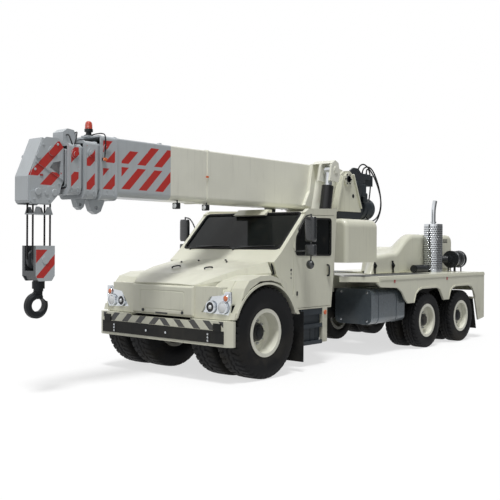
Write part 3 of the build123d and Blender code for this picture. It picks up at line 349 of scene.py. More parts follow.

# %% [markdown]
# ## Metals
# The cylinders' barrels are black, their rods hard chrome. The exhaust and its shield are
# stainless steel with fine vertical brushing, and darker patches are painted on as reflections.
# Cast and forged parts are rough all over: their colour and their relief follow the same noise.

# %% Metals
def metal(name, colour, rough, brushed=(1.0, 1.0, 1.0), grain=60.0, spread=0.12, relief=0.0002,
          worn=None, **constants):
    """Metal whose gloss follows a stretched grain; worn is a second tone in patches. Roughness =
    rough + (grain - 0.5) * spread + 0.2 * dust low down."""
    finish = Finish(name, **constants)
    grain_noise = finish.noise(grain, 4.0, brushed)
    patch = finish.ease(finish.noise(4.0, 5.0), 0.40, 0.70)
    low = 1 - finish.ease(finish.z, 0.2, 1.1)
    tone = finish.blend(patch * 0.5, colour, worn or colour)
    finish.feed("Base Color", finish.blend(low * patch * 0.22, tone, road_dust))
    finish.feed("Roughness", rough + (grain_noise - 0.5) * spread + low * patch * 0.2)
    finish.bump(grain_noise, relief)
    return finish


rod_chrome = metal("rod_chrome", srgb(205, 208, 212), 0.12, (0.2, 0.2, 6.0),
                   worn=srgb(190, 192, 194), Metallic=1.0)
barrel_black = metal("barrel_black", srgb(30, 31, 33), 0.30, worn=srgb(40, 41, 42),
                     Coat_Weight=0.25, Coat_Roughness=0.12, Specular_IOR_Level=0.3)
shield_steel = metal("shield_steel", srgb(196, 200, 204), 0.20, (8.0, 8.0, 0.15),
                     worn=srgb(150, 148, 142), Metallic=1.0)
black_iron = metal("black_iron", srgb(36, 39, 43), 0.50, grain=90.0, relief=0.0012,
                   worn=srgb(50, 49, 47), Metallic=0.35, Specular_IOR_Level=0.3)
frame_black = metal("frame_black", srgb(24, 26, 28), 0.5, worn=srgb(34, 33, 31),
                    Specular_IOR_Level=0.2)
tank_metal = metal("tank_metal", srgb(100, 109, 116), 0.27, (0.3, 4.0, 4.0),
                   worn=srgb(86, 95, 102), Metallic=0.45, Coat_Weight=0.3, Coat_Roughness=0.15)
wire_rope = metal("wire_rope", srgb(38, 38, 40), 0.5, grain=150.0, relief=0.002,
                  worn=srgb(60, 58, 56), Metallic=0.4, Specular_IOR_Level=0.3)
lamp_mirror = metal("lamp_mirror", srgb(214, 218, 222), 0.14, worn=srgb(198, 203, 208),
                    Metallic=0.9)
dress(rod_chrome, "lift_rods")
dress(barrel_black, "lift_barrels")
dress(black_iron, "hook", "engine")
dress(frame_black, "chassis_front", "chassis_rear", "axles_rear")
dress(tank_metal, "tanks")
dress(lamp_mirror, "headlamps")
print("metals: 8")

# %% [markdown]
# ## Plastics and rubber
# Mirror heads, air cleaner and steps are moulded or powder-coated black with a fine grain. Black
# that is one flat tone looks like a hole in the picture, so patches of it fade a little.

# %% Plastics and rubber
def moulded(name, colour, rough, grain=420.0, relief=0.0006, fade=srgb(70, 72, 74), **constants):
    """Moulded plastic or rubber: fine pressed grain, faded in patches and dusty low down.
    Roughness = rough + 0.12 * patch."""
    finish = Finish(name, **{"Specular_IOR_Level": 0.22, **constants})
    patch = finish.ease(finish.noise(2.6, 6.0), 0.42, 0.72)
    low = 1 - finish.ease(finish.z, 0.1, 0.9)
    faded = finish.blend(patch * 0.10, colour, fade)
    finish.feed("Base Color", finish.blend(low * patch * 0.10, faded, road_dust))
    finish.feed("Roughness", rough + patch * 0.12)
    finish.bump(finish.noise(grain, 2.0), relief)
    return finish


black_plastic = moulded("black_plastic", srgb(30, 33, 36), 0.34, Specular_IOR_Level=0.4)
step_black = moulded("step_black", srgb(50, 58, 65), 0.45, fade=srgb(76, 82, 88))
rubber = moulded("rubber", srgb(18, 20, 22), 0.72, grain=200.0)
seal_rubber = moulded("seal_rubber", srgb(16, 17, 18), 0.60, grain=300.0)
cloth_grey = moulded("cab_trim", srgb(46, 48, 50), 0.8, grain=900.0, relief=0.001)
mirror_black = moulded("mirror_black", srgb(28, 32, 36), 0.24, fade=srgb(38, 44, 48),
                       Specular_IOR_Level=0.5, Coat_Weight=0.7, Coat_Roughness=0.08)
dress(black_plastic, "air_cleaner")
dress(step_black, "cab_steps")
dress(rubber, "mudflaps_front", "mudflaps_rear")
dress(cloth_grey, "cab_interior")
print("plastics and rubber: 6")

# %% [markdown]
# ## Glass and lenses
# Glass is dark and glossy from outside; a little alpha lets the seats and wheel show. Lenses are
# coloured plastic with ribs pressed on the inside, which a wave in one direction imitates, each
# rib painted brighter as a painted highlight for the light it catches. Real refraction would be
# slower and, at this size, no different.

# %% Glass and lenses
def pane(name, colour, alpha):
    """Tinted glass: smooth, a little see-through, with thin dust. Alpha = alpha + dust."""
    finish = Finish(name, Specular_IOR_Level=0.18)
    dust = finish.ease(finish.noise(6.0, 6.0), 0.48, 0.8) * 0.05
    finish.feed("Base Color", finish.blend(dust, colour, road_dust))
    finish.feed("Roughness", 0.04 + dust)
    finish.feed("Alpha", alpha + dust)
    return finish


def lens(name, colour, rib_highlight):
    """Ribbed coloured plastic: each rib is a painted highlight and dulls the gloss."""
    finish = Finish(name, Coat_Weight=0.8, Coat_Roughness=0.04)
    rib = finish.flutes("Z", 34.0)
    # Painted highlight: the ribs are blended toward the brighter colour.
    finish.feed("Base Color", finish.blend(rib * 0.35, colour, rib_highlight))
    finish.feed("Roughness", 0.10 + rib * 0.15)
    finish.bump(rib, 0.002)
    return finish


# Partly painted shade: the glass is tinted, and its dark, nearly opaque colour also stands for the
# dim cab behind it.
dark_glass = pane("dark_glass", srgb(18, 22, 23), 0.86)
amber_lens = lens("amber_lens", srgb(226, 92, 24), srgb(255, 168, 74))
red_lens = lens("red_lens", srgb(150, 20, 16), srgb(214, 60, 48))
dress(dark_glass, "cab_glass", "door_glass_left", "door_glass_right")
dress(red_lens, "tail_lamps")
print("glass: 1, lenses: 2")

# %% [markdown]
# The indicators' housings are one solid with two kinds of surface: bright on the nose, and amber
# on the cab's post. Their x tells them apart.

# %% Indicators
post_and_lamp = Finish("indicator_housings", Coat_Weight=0.6, Coat_Roughness=0.06)
on_post = 1 - post_and_lamp.ease(post_and_lamp.x - axle_x, -1.01, -0.99)
ribs = post_and_lamp.flutes("Z", 34.0)
bright, orange = srgb(206, 210, 214), srgb(214, 92, 34)
post_and_lamp.feed("Base Color", post_and_lamp.blend(on_post, bright, orange))
post_and_lamp.feed("Metallic", (1 - on_post) * 0.8)
post_and_lamp.feed("Roughness", 0.16 + ribs * 0.12)
dress(post_and_lamp, "indicators")
print("indicators: bright in front, amber on the post")

# %% [markdown]
# ## Wheels: paint
# The rims are deep cream dishes with a dark hub in the middle. The hub is part of the same
# solid, so the colour is chosen by the distance from the wheel's own axle line. The pattern
# is in Object coordinates at rest, so it turns with the wheel.

# %% Wheels: paint
wheel_plan = {
    # name: axle x from the front axle, outer radius, tyre centres, tyre width, rim radius,
    # disc y, hub radius
    "front": (0.0, 0.674, (0.672, 1.185), 0.445, 0.322, 1.150, 0.135),
    "mid": (-4.962, 0.525, (0.829, 1.203), 0.290, 0.288, 1.190, 0.115),
    "rear": (-6.415, 0.525, (0.829, 1.203), 0.290, 0.288, 1.190, 0.115),
}
for name, (x, outer_r, _, _, rim_r, _, hub_r) in wheel_plan.items():
    rim_paint = Finish(f"rim_paint_{name}", Coat_Weight=0.15, Coat_Roughness=0.2)
    across, above = rim_paint.x - (axle_x + x), rim_paint.z - outer_r
    squared = across * across + above * above
    hub_edge = (hub_r + 0.012) ** 2
    hub = 1 - rim_paint.ease(squared, hub_edge * 0.96, hub_edge * 1.04)
    ring = rim_paint.ease(squared, rim_r ** 2 * 0.60, rim_r ** 2 * 0.92)
    brake_dust = (1 - rim_paint.ease(squared, hub_r ** 2 * 1.2, rim_r ** 2 * 0.75)) * 0.04
    # Painted light: the rims' cream is lighter than the cab's, to make up for the shade inside the
    # deep dish.
    colour = rim_paint.blend(brake_dust, srgb(240, 240, 226), grime)
    colour = rim_paint.blend(ring * 0.06, colour, grime)
    weather(rim_paint, rim_paint.blend(hub, colour, srgb(36, 39, 42)), 0.42, dust=0.05)
    dress(rim_paint, f"rims_{name}_left", f"rims_{name}_right")
print("rims painted:", ", ".join(wheel_plan))

# %% [markdown]
# ## Surfaces from numpy
# A new piece is a grid of points: rows along a path, columns around a profile. Neighbours make
# quads, the ends are closed with one polygon each, and the sign of the enclosed volume says
# whether the faces look outwards; if not, they are all turned round.

# %% Surfaces from numpy
def surface(points, loop=False):
    """Closed surface through points[rows, columns, 3]; columns wrap, and rows too with loop.

    Each quad joins (r, c), (r, c+1), (r+1, c+1), (r+1, c). The volume is the sum over triangles of
    a . (b x c) / 6, and a negative volume means that the faces look inwards.
    """
    rows, cols, _ = points.shape
    r, c = np.meshgrid(np.arange(rows if loop else rows - 1), np.arange(cols), indexing="ij")
    r, c = r.ravel(), c.ravel()
    r2, c2 = (r + 1) % rows, (c + 1) % cols
    quads = np.stack([r * cols + c, r * cols + c2, r2 * cols + c2, r2 * cols + c], axis=1)
    verts = points.reshape(-1, 3)
    caps = [] if loop else [np.arange(cols)[::-1], (rows - 1) * cols + np.arange(cols)]
    triangles = [quads[:, [0, 1, 2]], quads[:, [0, 2, 3]]]
    for cap in caps:
        triangles.append(np.stack([np.full(cols - 2, cap[0]), cap[1:-1], cap[2:]], axis=1))
    a, b, d = (verts[np.concatenate(triangles)[:, k]] - verts.mean(axis=0) for k in range(3))
    faces = [list(f) for f in quads.tolist()] + [cap.tolist() for cap in caps]
    if np.einsum("ij,ij->", a, np.cross(b, d)) < 0:
        faces = [f[::-1] for f in faces]
    return verts, faces


test_grid = np.random.default_rng(1).random((4, 3, 3))
print("surface test, faces of a 4 x 3 grid:", len(surface(test_grid)[1]))

# %% [markdown]
# Several grids often make one piece, such as a cap with its bolts. They are joined before the
# mesh is made, and the piece is then told which body carries it and given its finish.

# %% Pieces
def join(shapes):
    """Several shapes as one: the vertices in a row, and each shape's faces shifted to its own."""
    verts, faces, count = [], [], 0
    for v, f in shapes:
        verts.append(v)
        faces += [[i + count for i in face] for face in f]
        count += len(v)
    return np.concatenate(verts), faces


def piece(name, body, finish, shapes, smooth=True):
    """Object at the origin from one or more shapes, riding on a body, with flat caps kept sharp."""
    verts, faces = join(shapes)
    mesh = bpy.data.meshes.new(name)
    mesh.from_pydata(verts.tolist(), [], faces)
    mesh.materials.append(finish.material)
    mesh.update()
    if smooth:
        mesh.shade_smooth()
        mesh.set_sharp_from_angle(angle=np.radians(35))
    made = add(name, mesh)
    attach(made, body)
    return made


two = join([surface(test_grid), surface(test_grid)])
print("join test, faces of two grids:", len(two[1]))

# %% [markdown]
# ## Places
# Every x below is measured from the front axle, because that is how the machine was drawn. Short
# helpers name the places that come back: an oblong that faces forwards or sideways, a line on an
# upright plane, and points round a circle for bolts.

# %% Places
ahead, sideways, upward = np.eye(3)
sides = (("left", 1), ("right", -1))


def at(x, y, z):
    """Point in metres, x from the front axle, y from the middle, z from the ground."""
    return np.array([axle_x + x, y, z], dtype=float)


def unit(v):
    """Vector divided by its length."""
    v = np.asarray(v, dtype=float)
    return v / np.linalg.norm(v, axis=-1, keepdims=True)


def facing_x(x, y_low, y_high, z_low, z_high):
    """Corners of an upright oblong that faces forwards."""
    return [at(x, y_low, z_low), at(x, y_high, z_low), at(x, y_high, z_high), at(x, y_low, z_high)]


def facing_y(y, x_low, x_high, z_low, z_high):
    """Corners of an upright oblong that faces sideways."""
    return [at(x_low, y, z_low), at(x_high, y, z_low), at(x_high, y, z_high), at(x_low, y, z_high)]


def on_plane(y, line):
    """Points (x, z) of a line on the upright plane at y."""
    return [at(x, y, z) for x, z in line]


def bolt_circle(centre, radius, count, across=ahead):
    """Points on an upright circle: centre + radius * (cos of the angle * across + sin * upward)."""
    angle = np.arange(count)[:, None] * 2 * np.pi / count
    return centre + radius * (np.cos(angle) * across + np.sin(angle) * upward)


print("front axle at", at(0, 0, 0))

# %% [markdown]
# ## Shapes used again and again
# Three recipes cover nearly all fittings: a profile turned about a line (bolts, lamps, caps), a
# profile carried along a path (seals, handles, arms), and an outline with softened edges pulled
# along its normal (plates, blocks). Modifiers could do the same, but a formula needs no clean-up.

# %% Turned and carried shapes
def turned(profile, centre, axis, count=24, loop=False):
    """Profile of (along, radius) turned about a line: centre + axis * along
    + radius * (cos t * side + sin t * other)."""
    axis = unit(axis)
    side = unit(np.cross(axis, [0.31, 0.17, 0.93] if abs(axis[2]) < 0.9 else [1.0, 0.2, 0.0]))
    other = np.cross(axis, side)
    along, radius = np.array(profile, dtype=float).T
    t = np.linspace(0, 2 * np.pi, count, endpoint=False)
    ring = np.cos(t)[:, None] * side + np.sin(t)[:, None] * other
    return surface(centre + along[:, None, None] * axis + radius[:, None, None] * ring, loop)


def rounded(path, passes=3, closed=False):
    """Corner cutting: each pass puts two points at a quarter and three quarters of every run."""
    path = np.asarray(path, dtype=float)
    for _ in range(passes):
        there = np.roll(path, -1, axis=0) if closed else path[1:]
        here = path if closed else path[:-1]
        cut = np.stack([0.75 * here + 0.25 * there, 0.25 * here + 0.75 * there], axis=1)
        cut = cut.reshape(-1, 3)
        path = cut if closed else np.concatenate([path[:1], cut, path[-1:]])
    return path


def carried(path, profile, normal, closed=False):
    """Profile of (across, out) carried along a path: out follows the normal, and across is
    tangent x normal."""
    path = np.asarray(path, dtype=float)
    tangent = unit(np.roll(path, -1, axis=0) - np.roll(path, 1, axis=0))
    if not closed:
        tangent[0], tangent[-1] = unit(path[1] - path[0]), unit(path[-1] - path[-2])
    across = unit(np.cross(tangent, normal))
    out = np.cross(across, tangent)
    p, q = np.array(profile, dtype=float).T[:, None, :, None]
    return surface(path[:, None] + p * across[:, None] + q * out[:, None], closed)


def round_profile(radius, count=10):
    """Circle of (across, out) for a tube: radius * (cos t, sin t)."""
    t = np.linspace(0, 2 * np.pi, count, endpoint=False)
    return np.stack([radius * np.cos(t), radius * np.sin(t)], axis=1)


print("corner cutting of a square, points:", len(rounded(np.eye(4)[:, :3], 3, closed=True)))

# %% [markdown]
# A real edge is never sharp: a plate is drawn in by a few millimetres at its rims, so that light
# catches there. A bolt is a washer and a hexagon with a chamfer.

# %% Plates and bolts
def plate(outline, depth, bevel=0.004):
    """Flat outline of 3-D points pulled along depth, its rims drawn in toward the middle: small =
    middle + (outline - middle) * (1 - bevel / reach)."""
    outline, depth = np.asarray(outline, dtype=float), np.asarray(depth, dtype=float)
    middle = outline.mean(axis=0)
    reach = np.linalg.norm(outline - middle, axis=1, keepdims=True)
    small = middle + (outline - middle) * (1 - bevel / reach)
    lift = unit(depth) * bevel
    return surface(np.stack([small, outline + lift, outline + depth - lift, small + depth]))


def bolt(centre, axis, radius=0.012, height=0.012):
    """Hexagon head with a chamfered top on a washer."""
    return join([turned([(0, radius * 1.5), (height * 0.25, radius * 1.5)], centre, axis, 12),
                 turned([(height * 0.2, radius), (height * 0.85, radius), (height, radius * 0.8)],
                        centre, axis, 6)])


print("bolt faces:", len(bolt(at(0, 0, 0), upward)[1]))

# %% [markdown]
# ## Tyre section
# Each axle end carries two tyres. A tyre is one grid: the section runs from bead to bead, and
# the circle goes round. The section is a smooth line through a few knots, evened out by length,
# so that the grid is as fine on the shoulder as on the tread.

# %% Tyre section
tyre_rubber = moulded("tyre_rubber", srgb(21, 22, 24), 0.66, grain=260.0, fade=srgb(40, 41, 42))


def tyre_section(width, outer_r, bead_r, count=64):
    """Section points (across, radius): a smooth line through bead, bulge, shoulder and crown."""
    h, wall = width / 2, outer_r - bead_r
    knots = np.array([(0.80, 0.00), (0.82, 0.10), (0.97, 0.34), (1.00, 0.52), (0.965, 0.74),
                      (0.90, 0.93), (0.80, 0.985), (0.40, 1.0), (0.0, 1.0)])
    knots = np.concatenate([knots, knots[-2::-1] * (-1, 1)])
    steps = np.linalg.norm(np.diff(knots * (h, wall), axis=0), axis=1)
    reach = np.concatenate([[0], np.cumsum(steps)])
    s = np.linspace(0, reach[-1], count)
    line = np.stack([np.interp(s, reach, knots[:, 0]), np.interp(s, reach, knots[:, 1])], axis=1)
    line[1:-1] = 0.25 * line[:-2] + 0.5 * line[1:-1] + 0.25 * line[2:]
    return line[:, 0] * h, bead_r + line[:, 1] * wall, line[:, 0], line[:, 1]


print("half width of the front tyre:", tyre_section(0.445, 0.674, 0.322)[0].max().round(4), "m")

# %% [markdown]
# ## Tread
# Tread grooves and side ribs are only changes of radius, given as a function of the angle and
# the place across, so the whole tyre is worked out in one go. The tread stays inside the solid's
# outline, because grooves go in and nothing comes out.

# %% Tread
def tyre(x, side, centre, width, outer_r, bead_r, lugs, around):
    """Radius = section radius - groove depth. Grooves: three that run round in a zigzag and one
    slanted cut per lug that fades down the shoulder. Ribs on the wall: a cosine of the height."""
    groove_depth, wall_relief, outer_lane, lane_half = 0.017, 0.0022, 0.42, 0.035
    across, radius, s, wall = tyre_section(width, outer_r, bead_r)
    t = np.linspace(0, 2 * np.pi, around, endpoint=False)[:, None]
    s, wall = s[None], wall[None]
    zigzag = 0.045 * np.sign(np.sin(lugs * t))
    lane = np.minimum(np.abs(s - zigzag),
                      np.minimum(np.abs(s - outer_lane - zigzag), np.abs(s + outer_lane + zigzag)))
    crown = np.clip((wall - 0.93) / 0.05, 0, 1)
    phase = (lugs * t / (2 * np.pi) + 0.9 * np.abs(s)) % 1.0
    cut = (phase < 0.24) * np.clip((wall - 0.76) / 0.12, 0, 1) * (np.abs(s) > 0.40)
    groove = groove_depth * np.maximum((lane < lane_half) * crown, cut)
    rib = wall_relief * (np.cos(wall * 62) > 0.25) * (wall > 0.30) * (wall < 0.78)
    r = radius[None] - groove
    y = side * (centre + across[None] - np.sign(s) * (wall_relief - rib) * (wall < 0.9))
    ring = np.stack([np.cos(t) * r, np.broadcast_to(y, r.shape), np.sin(t) * r], axis=2)
    return surface(ring + at(x, 0, outer_r), loop=True)


total = 0
for name, (x, outer_r, centres, width, rim_r, _, _) in wheel_plan.items():
    lugs, around = (40, 320) if name == "front" else (36, 252)
    for label, side in sides:
        pair = [tyre(x, side, centre, width, outer_r, rim_r, lugs, around) for centre in centres]
        made = piece(f"tread_{name}_{label}", f"wheels_{name}_{label}", tyre_rubber, pair)
        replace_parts(made, f"tyres_{name}_{label}")
        total += len(made.data.polygons)
print("tyre faces:", total)

# %% [markdown]
# ## Hub caps and wheel nuts
# A dark hub stands in the middle of each dish, with a ring of nuts on the disc around it. One
# nut is a turned hexagon; the ring is the same nut at equal angles.

# %% Hub caps and wheel nuts
nut_line = [(-0.004, 0.024), (0.004, 0.024), (0.004, 0.019), (0.026, 0.019), (0.030, 0.013),
            (0.040, 0.011)]
for name, (x, outer_r, _, _, _, disc_y, hub_r) in wheel_plan.items():
    for label, side in sides:
        axis, centre = side * sideways, at(x, side * disc_y, outer_r)
        cap = turned([(0.070, hub_r - 0.020), (0.080, hub_r - 0.020), (0.088, hub_r - 0.032),
                      (0.088, hub_r * 0.52), (0.100, hub_r * 0.48), (0.104, hub_r * 0.30),
                      (0.104, 0.012)], centre, axis, 40)
        studs = [turned(nut_line, spot, axis, 6) for spot in bolt_circle(centre, hub_r + 0.045, 10)]
        heads = [bolt(spot, axis, 0.009, 0.010)
                 for spot in bolt_circle(centre + axis * 0.086, hub_r * 0.66, 5)]
        piece(f"hub_{name}_{label}", f"wheels_{name}_{label}", black_iron, [cap] + heads)
        piece(f"nuts_{name}_{label}", f"wheels_{name}_{label}", shield_steel, studs)
print("hubs: 6, nuts: 60")

# %% [markdown]
# ## Glass seals
# The windscreen and the door windows sit in a black rubber seal. A seal is a low rounded bead
# carried round the edge of the opening: the path is the opening's outline with its corners cut
# round, and the bead's section stays upright on the pane.

# %% Glass seals
screen_half, (foot_x, foot_z), (top_x, top_z) = 1.028, (-0.718, 1.892), (-1.294, 2.470)
screen_normal = unit([0.713, 0.0, 0.701])
bead = [(-0.020, -0.006), (-0.018, 0.006), (-0.008, 0.012), (0.008, 0.012), (0.018, 0.006),
        (0.020, -0.006)]


def soft_loop(outline, radius, per_corner=6):
    """Closed outline with each corner replaced by a small arc-like curve: the points at `radius`
    before and after the corner are joined by a quadratic curve pulled to the corner."""
    outline = np.asarray(outline, dtype=float)
    before, after = np.roll(outline, 1, axis=0), np.roll(outline, -1, axis=0)
    start = outline + unit(before - outline) * radius
    end = outline + unit(after - outline) * radius
    t = np.linspace(0, 1, per_corner)[None, :, None]
    curve = ((1 - t) ** 2 * start[:, None] + 2 * t * (1 - t) * outline[:, None]
             + t ** 2 * end[:, None])
    return curve.reshape(-1, 3)


screen = [at(foot_x, -screen_half, foot_z), at(foot_x, screen_half, foot_z),
          at(top_x, screen_half, top_z), at(top_x, -screen_half, top_z)]
piece("windscreen_seal", "front_chassis", seal_rubber,
      [carried(soft_loop(screen, 0.07), bead, screen_normal, closed=True)])
window = [(-1.045, 1.800), (-1.045, 2.075), (-1.290, 2.375), (-1.995, 2.385), (-1.995, 1.790)]
for label, side in sides:
    loop = soft_loop(on_plane(side * 1.119, window), 0.05)
    piece(f"window_seal_{label}", f"door_{label}", seal_rubber,
          [carried(loop, np.array(bead) * 0.8, [0, side, 0], closed=True)])
print("seals: 3")

# %% [markdown]
# ## Nose panel
# The middle of the nose is a flat moulded cover that stands a little in front of the lamp
# housings, with a shallow groove pressed into it as a frame. A cover like this could be cut from
# a block, but a height map is shorter: one formula gives how far each point stands forward.

# %% Nose panel
def pressed_cover(y_half, z_low, z_high, x_back, depth, frame_box):
    """Cover seen from the front: forward = depth * (1 - (1 - e)^2), e the distance to the edge
    / 35 mm, less a 7 mm groove along a rounded rectangle, gone 6.4 mm from it. Columns run across
    the front and come back behind it, rows climb in z, so the grid closes on itself."""
    columns, rows = 240, 90
    y, z = np.linspace(-y_half, y_half, columns), np.linspace(z_low, z_high, rows)
    yy, zz = np.meshgrid(y, z)
    edge = np.minimum(y_half - np.abs(yy), np.minimum(zz - z_low, z_high - zz)) / 0.035
    rise = np.clip(edge, 0, 1)
    rise = 1 - (1 - rise) ** 2
    half_y, low, high, soft = frame_box
    off_y = np.abs(yy) - (half_y - soft)
    off_z = np.abs(zz - (low + high) / 2) - ((high - low) / 2 - soft)
    away = (np.hypot(np.maximum(off_y, 0), np.maximum(off_z, 0))
            + np.minimum(np.maximum(off_y, off_z), 0) - soft)
    xx = x_back + depth * rise - 0.007 * np.clip(1.6 - np.abs(away) / 0.004, 0, 1)
    front = np.stack([axle_x + xx, yy, zz], axis=2)
    back = np.stack([np.full((rows, 2), axle_x + x_back - 0.012),
                     np.tile([y_half, -y_half], (rows, 1)), np.tile(z[:, None], (1, 2))], axis=2)
    return surface(np.concatenate([front, back], axis=1))


piece("nose_panel", "front_chassis", cream_paint,
      [pressed_cover(0.655, 0.905, 1.352, 0.744, 0.040, (0.47, 0.985, 1.262, 0.04))])
stud_line = [(0, 0.024), (0.010, 0.024), (0.016, 0.016), (0.016, 0.004)]
studs = [turned(stud_line, at(0.784, y, 0.958), ahead, 20) for y in (-0.40, 0.44)]
# Painted shade: the slot is a thin black bar laid on the cover.
slot_shade_bar = plate(facing_x(0.783, -0.13, 0.13, 0.918, 0.942), [0.004, 0, 0], 0.002)
piece("nose_fittings", "front_chassis", black_plastic, studs + [slot_shade_bar])
lip = rounded([at(0.742, y, 1.372 - 0.016 * abs(y / 0.65) ** 3)
               for y in np.linspace(-0.655, 0.655, 9)], 2)
piece("bonnet_lip", "bonnet", cream_paint,
      [carried(lip, round_profile(0.011, 12), [1.0, 0.0, 0.2])])
print("nose panel, two studs, slot and lip")

# %% [markdown]
# ## Bonnet edges and fittings
# A flange turns down along each side of the bonnet and closes the gap to the wing. On top sit
# two small handles and four stops, and two wipers rest along the foot of the windscreen.

# %% Bonnet edges and fittings
flange_line = [(-0.008, -0.055), (-0.008, 0.012), (0.008, 0.012), (0.008, -0.055)]
flanges = []
for side in (1, -1):
    edge = rounded([at(0.735, side * 0.652, 1.340), at(0.430, side * 0.872, 1.405),
                    at(0.100, side * 0.957, 1.486), at(-0.465, side * 1.075, 1.512)], 2)
    flanges.append(carried(edge, flange_line, upward))
piece("bonnet_flanges", "bonnet", cream_paint, flanges, smooth=False)
handle_rise = (0.01, 0, 0.022)
handles = [carried(rounded([start, start + handle_rise, end + handle_rise, end], 3),
                   round_profile(0.012, 8), [0.6, 0.6, 0.5])
           for start, end in ((at(0.185, -0.385, 1.577), at(0.095, -0.30, 1.600)),
                              (at(0.185, 0.315, 1.577), at(0.095, 0.39, 1.592)))]
stop_line = [(-0.02, 0.016), (0.008, 0.016), (0.014, 0.010), (0.014, 0.003)]
stops = [turned(stop_line, at(*place), [0.15, 0, 1], 12)
         for place in ((-0.24, -0.61, 1.664), (-0.28, 0.34, 1.686), (-0.33, -0.31, 1.692),
                       (-0.39, 0.22, 1.706))]
piece("bonnet_fittings", "bonnet", black_plastic, handles + stops)
blade_line = [(-0.004, -0.012), (-0.008, 0.010), (0.008, 0.010), (0.004, -0.012)]
pivot_line = [(-0.03, 0.022), (0.012, 0.022), (0.020, 0.014), (0.020, 0.003)]
wipers = []
for start, end in ((0.10, 0.86), (-0.86, -0.10)):
    arm = [at(-0.700, start, 1.888), at(-0.712, (start + end) / 2, 1.925), at(-0.728, end, 1.936)]
    blade = np.linspace(at(-0.738, start + 0.10, 1.918), at(-0.738, end + 0.08, 1.930), 8)
    wipers += [carried(rounded(arm, 2), round_profile(0.009, 8), [1, 0, 1]),
               carried(blade, blade_line, screen_normal),
               turned(pivot_line, at(-0.700, start, 1.884), screen_normal, 16)]
piece("wipers", "front_chassis", black_plastic, wipers)
print("bonnet: flanges, handles, stops; wipers: 2")

# %% [markdown]
# ## Lamp glass and sections
# A headlamp's cover glass is clear with shallow flutes. Behind it lies a mirror, so the glass is
# given the mirror's pale tone and a coat, which costs less than tracing light through it: the pale
# tone is a painted reflection of the mirror, and the flutes are painted a little darker.

# %% Lamp glass and sections
lamp_glass = Finish("lamp_glass", Coat_Weight=0.8, Coat_Roughness=0.03, Specular_IOR_Level=0.5)
flute = lamp_glass.flutes("Y", 22.0)
# Painted reflection: the pale colour stands for the mirror seen through the glass; the flutes are
# painted darker.
lamp_glass.feed("Base Color",
                lamp_glass.blend(flute * 0.3, srgb(240, 243, 245), srgb(176, 186, 192)))
lamp_glass.feed("Roughness", 0.08 + flute * 0.10)
lamp_glass.bump(flute, 0.002)


def ring(radius, thick=0.010, deep=0.016):
    """Section of a lamp's rim: (deep / 2 * (1 + cos t), radius + thick * sin t), a closed loop."""
    t = np.linspace(0, 2 * np.pi, 10, endpoint=False)
    return np.stack([deep * 0.5 + deep * 0.5 * np.cos(t), radius + thick * np.sin(t)], axis=1)


def dome(radius, bulge, count=8):
    """Section of a lens: (along, radius) = (bulge * cos t, radius * sin t), closed behind."""
    t = np.linspace(np.pi / 2, 0.04, count)
    return [(-0.004, radius)] + list(zip(bulge * np.cos(t), radius * np.sin(t)))


print("lens section, points:", len(dome(0.076, 0.024)))

# %% [markdown]
# ## Head and side lamps
# Each cluster has a bright outer lamp, a dark projector inside it and a round amber indicator.
# All are profiles turned about the line that points forward: a chrome ring, and a lens that is
# domed like a watch glass. A small amber dome sits low on each side behind the door.

# %% Head and side lamps
projector_line = [(-0.004, 0.072), (0.002, 0.072), (0.004, 0.060), (0.004, 0.034), (0.010, 0.030),
                  (0.010, 0.004)]
rims, lenses, projectors, amber = [], [], [], []
for side in (1, -1):
    outer, inner = at(0.738, side * 1.180, 1.067), at(0.738, side * 0.955, 1.067)
    blink = at(0.726, side * 1.236, 1.198)
    rims += [turned(ring(0.084), outer, ahead, 40, loop=True),
             turned(ring(0.080), inner, ahead, 40, loop=True),
             turned(ring(0.046, 0.006, 0.012), blink, ahead, 32, loop=True)]
    lenses += [turned(dome(0.076, 0.024), outer, ahead, 40),
               turned(dome(0.030, 0.028), inner + ahead * 0.004, ahead, 24)]
    projectors.append(turned(projector_line, inner, ahead, 40))
    amber.append(turned(dome(0.042, 0.022), blink, ahead, 32))
piece("lamp_rims", "front_chassis", lamp_mirror, rims)
piece("lamp_lenses", "front_chassis", lamp_glass, lenses)
piece("lamp_projectors", "front_chassis", black_plastic, projectors)
for side in (1, -1):
    amber.append(turned(dome(0.030, 0.016), at(-1.852, side * 1.120, 0.862), sideways * side, 24))
piece("amber_domes", "front_chassis", amber_lens, amber)
print("lamps: 4, indicators: 4")

# %% [markdown]
# ## Bumper fittings
# The dark plate is bolted on: three bolts in a column near each end and two in the middle.

# %% Bumper fittings
plate_x = 0.842
bolts = [bolt(at(plate_x, y, z), ahead, 0.011, 0.008)
         for y in (-1.0, 1.0) for z in (0.605, 0.650, 0.695)]
bolts += [bolt(at(plate_x, y, 0.655), ahead, 0.012, 0.008) for y in (-0.27, 0.15)]
piece("bumper_bolts", "front_chassis", shield_steel, bolts)
print("bumper bolts:", len(bolts))

# %% [markdown]
# ## Beacon and work lamps
# A rotating beacon stands behind the boom's collar, and two small box-shaped work lamps hang on
# brackets under the boom's left edge. The box is an outline with rounded corners pulled
# through its depth, the same recipe as every plate here.

# %% Beacon and work lamps
def cushion(outline, depth, bevel, radius=0.012):
    """Plate whose outline has rounded corners first."""
    return plate(soft_loop(outline, radius, 5), depth, bevel)


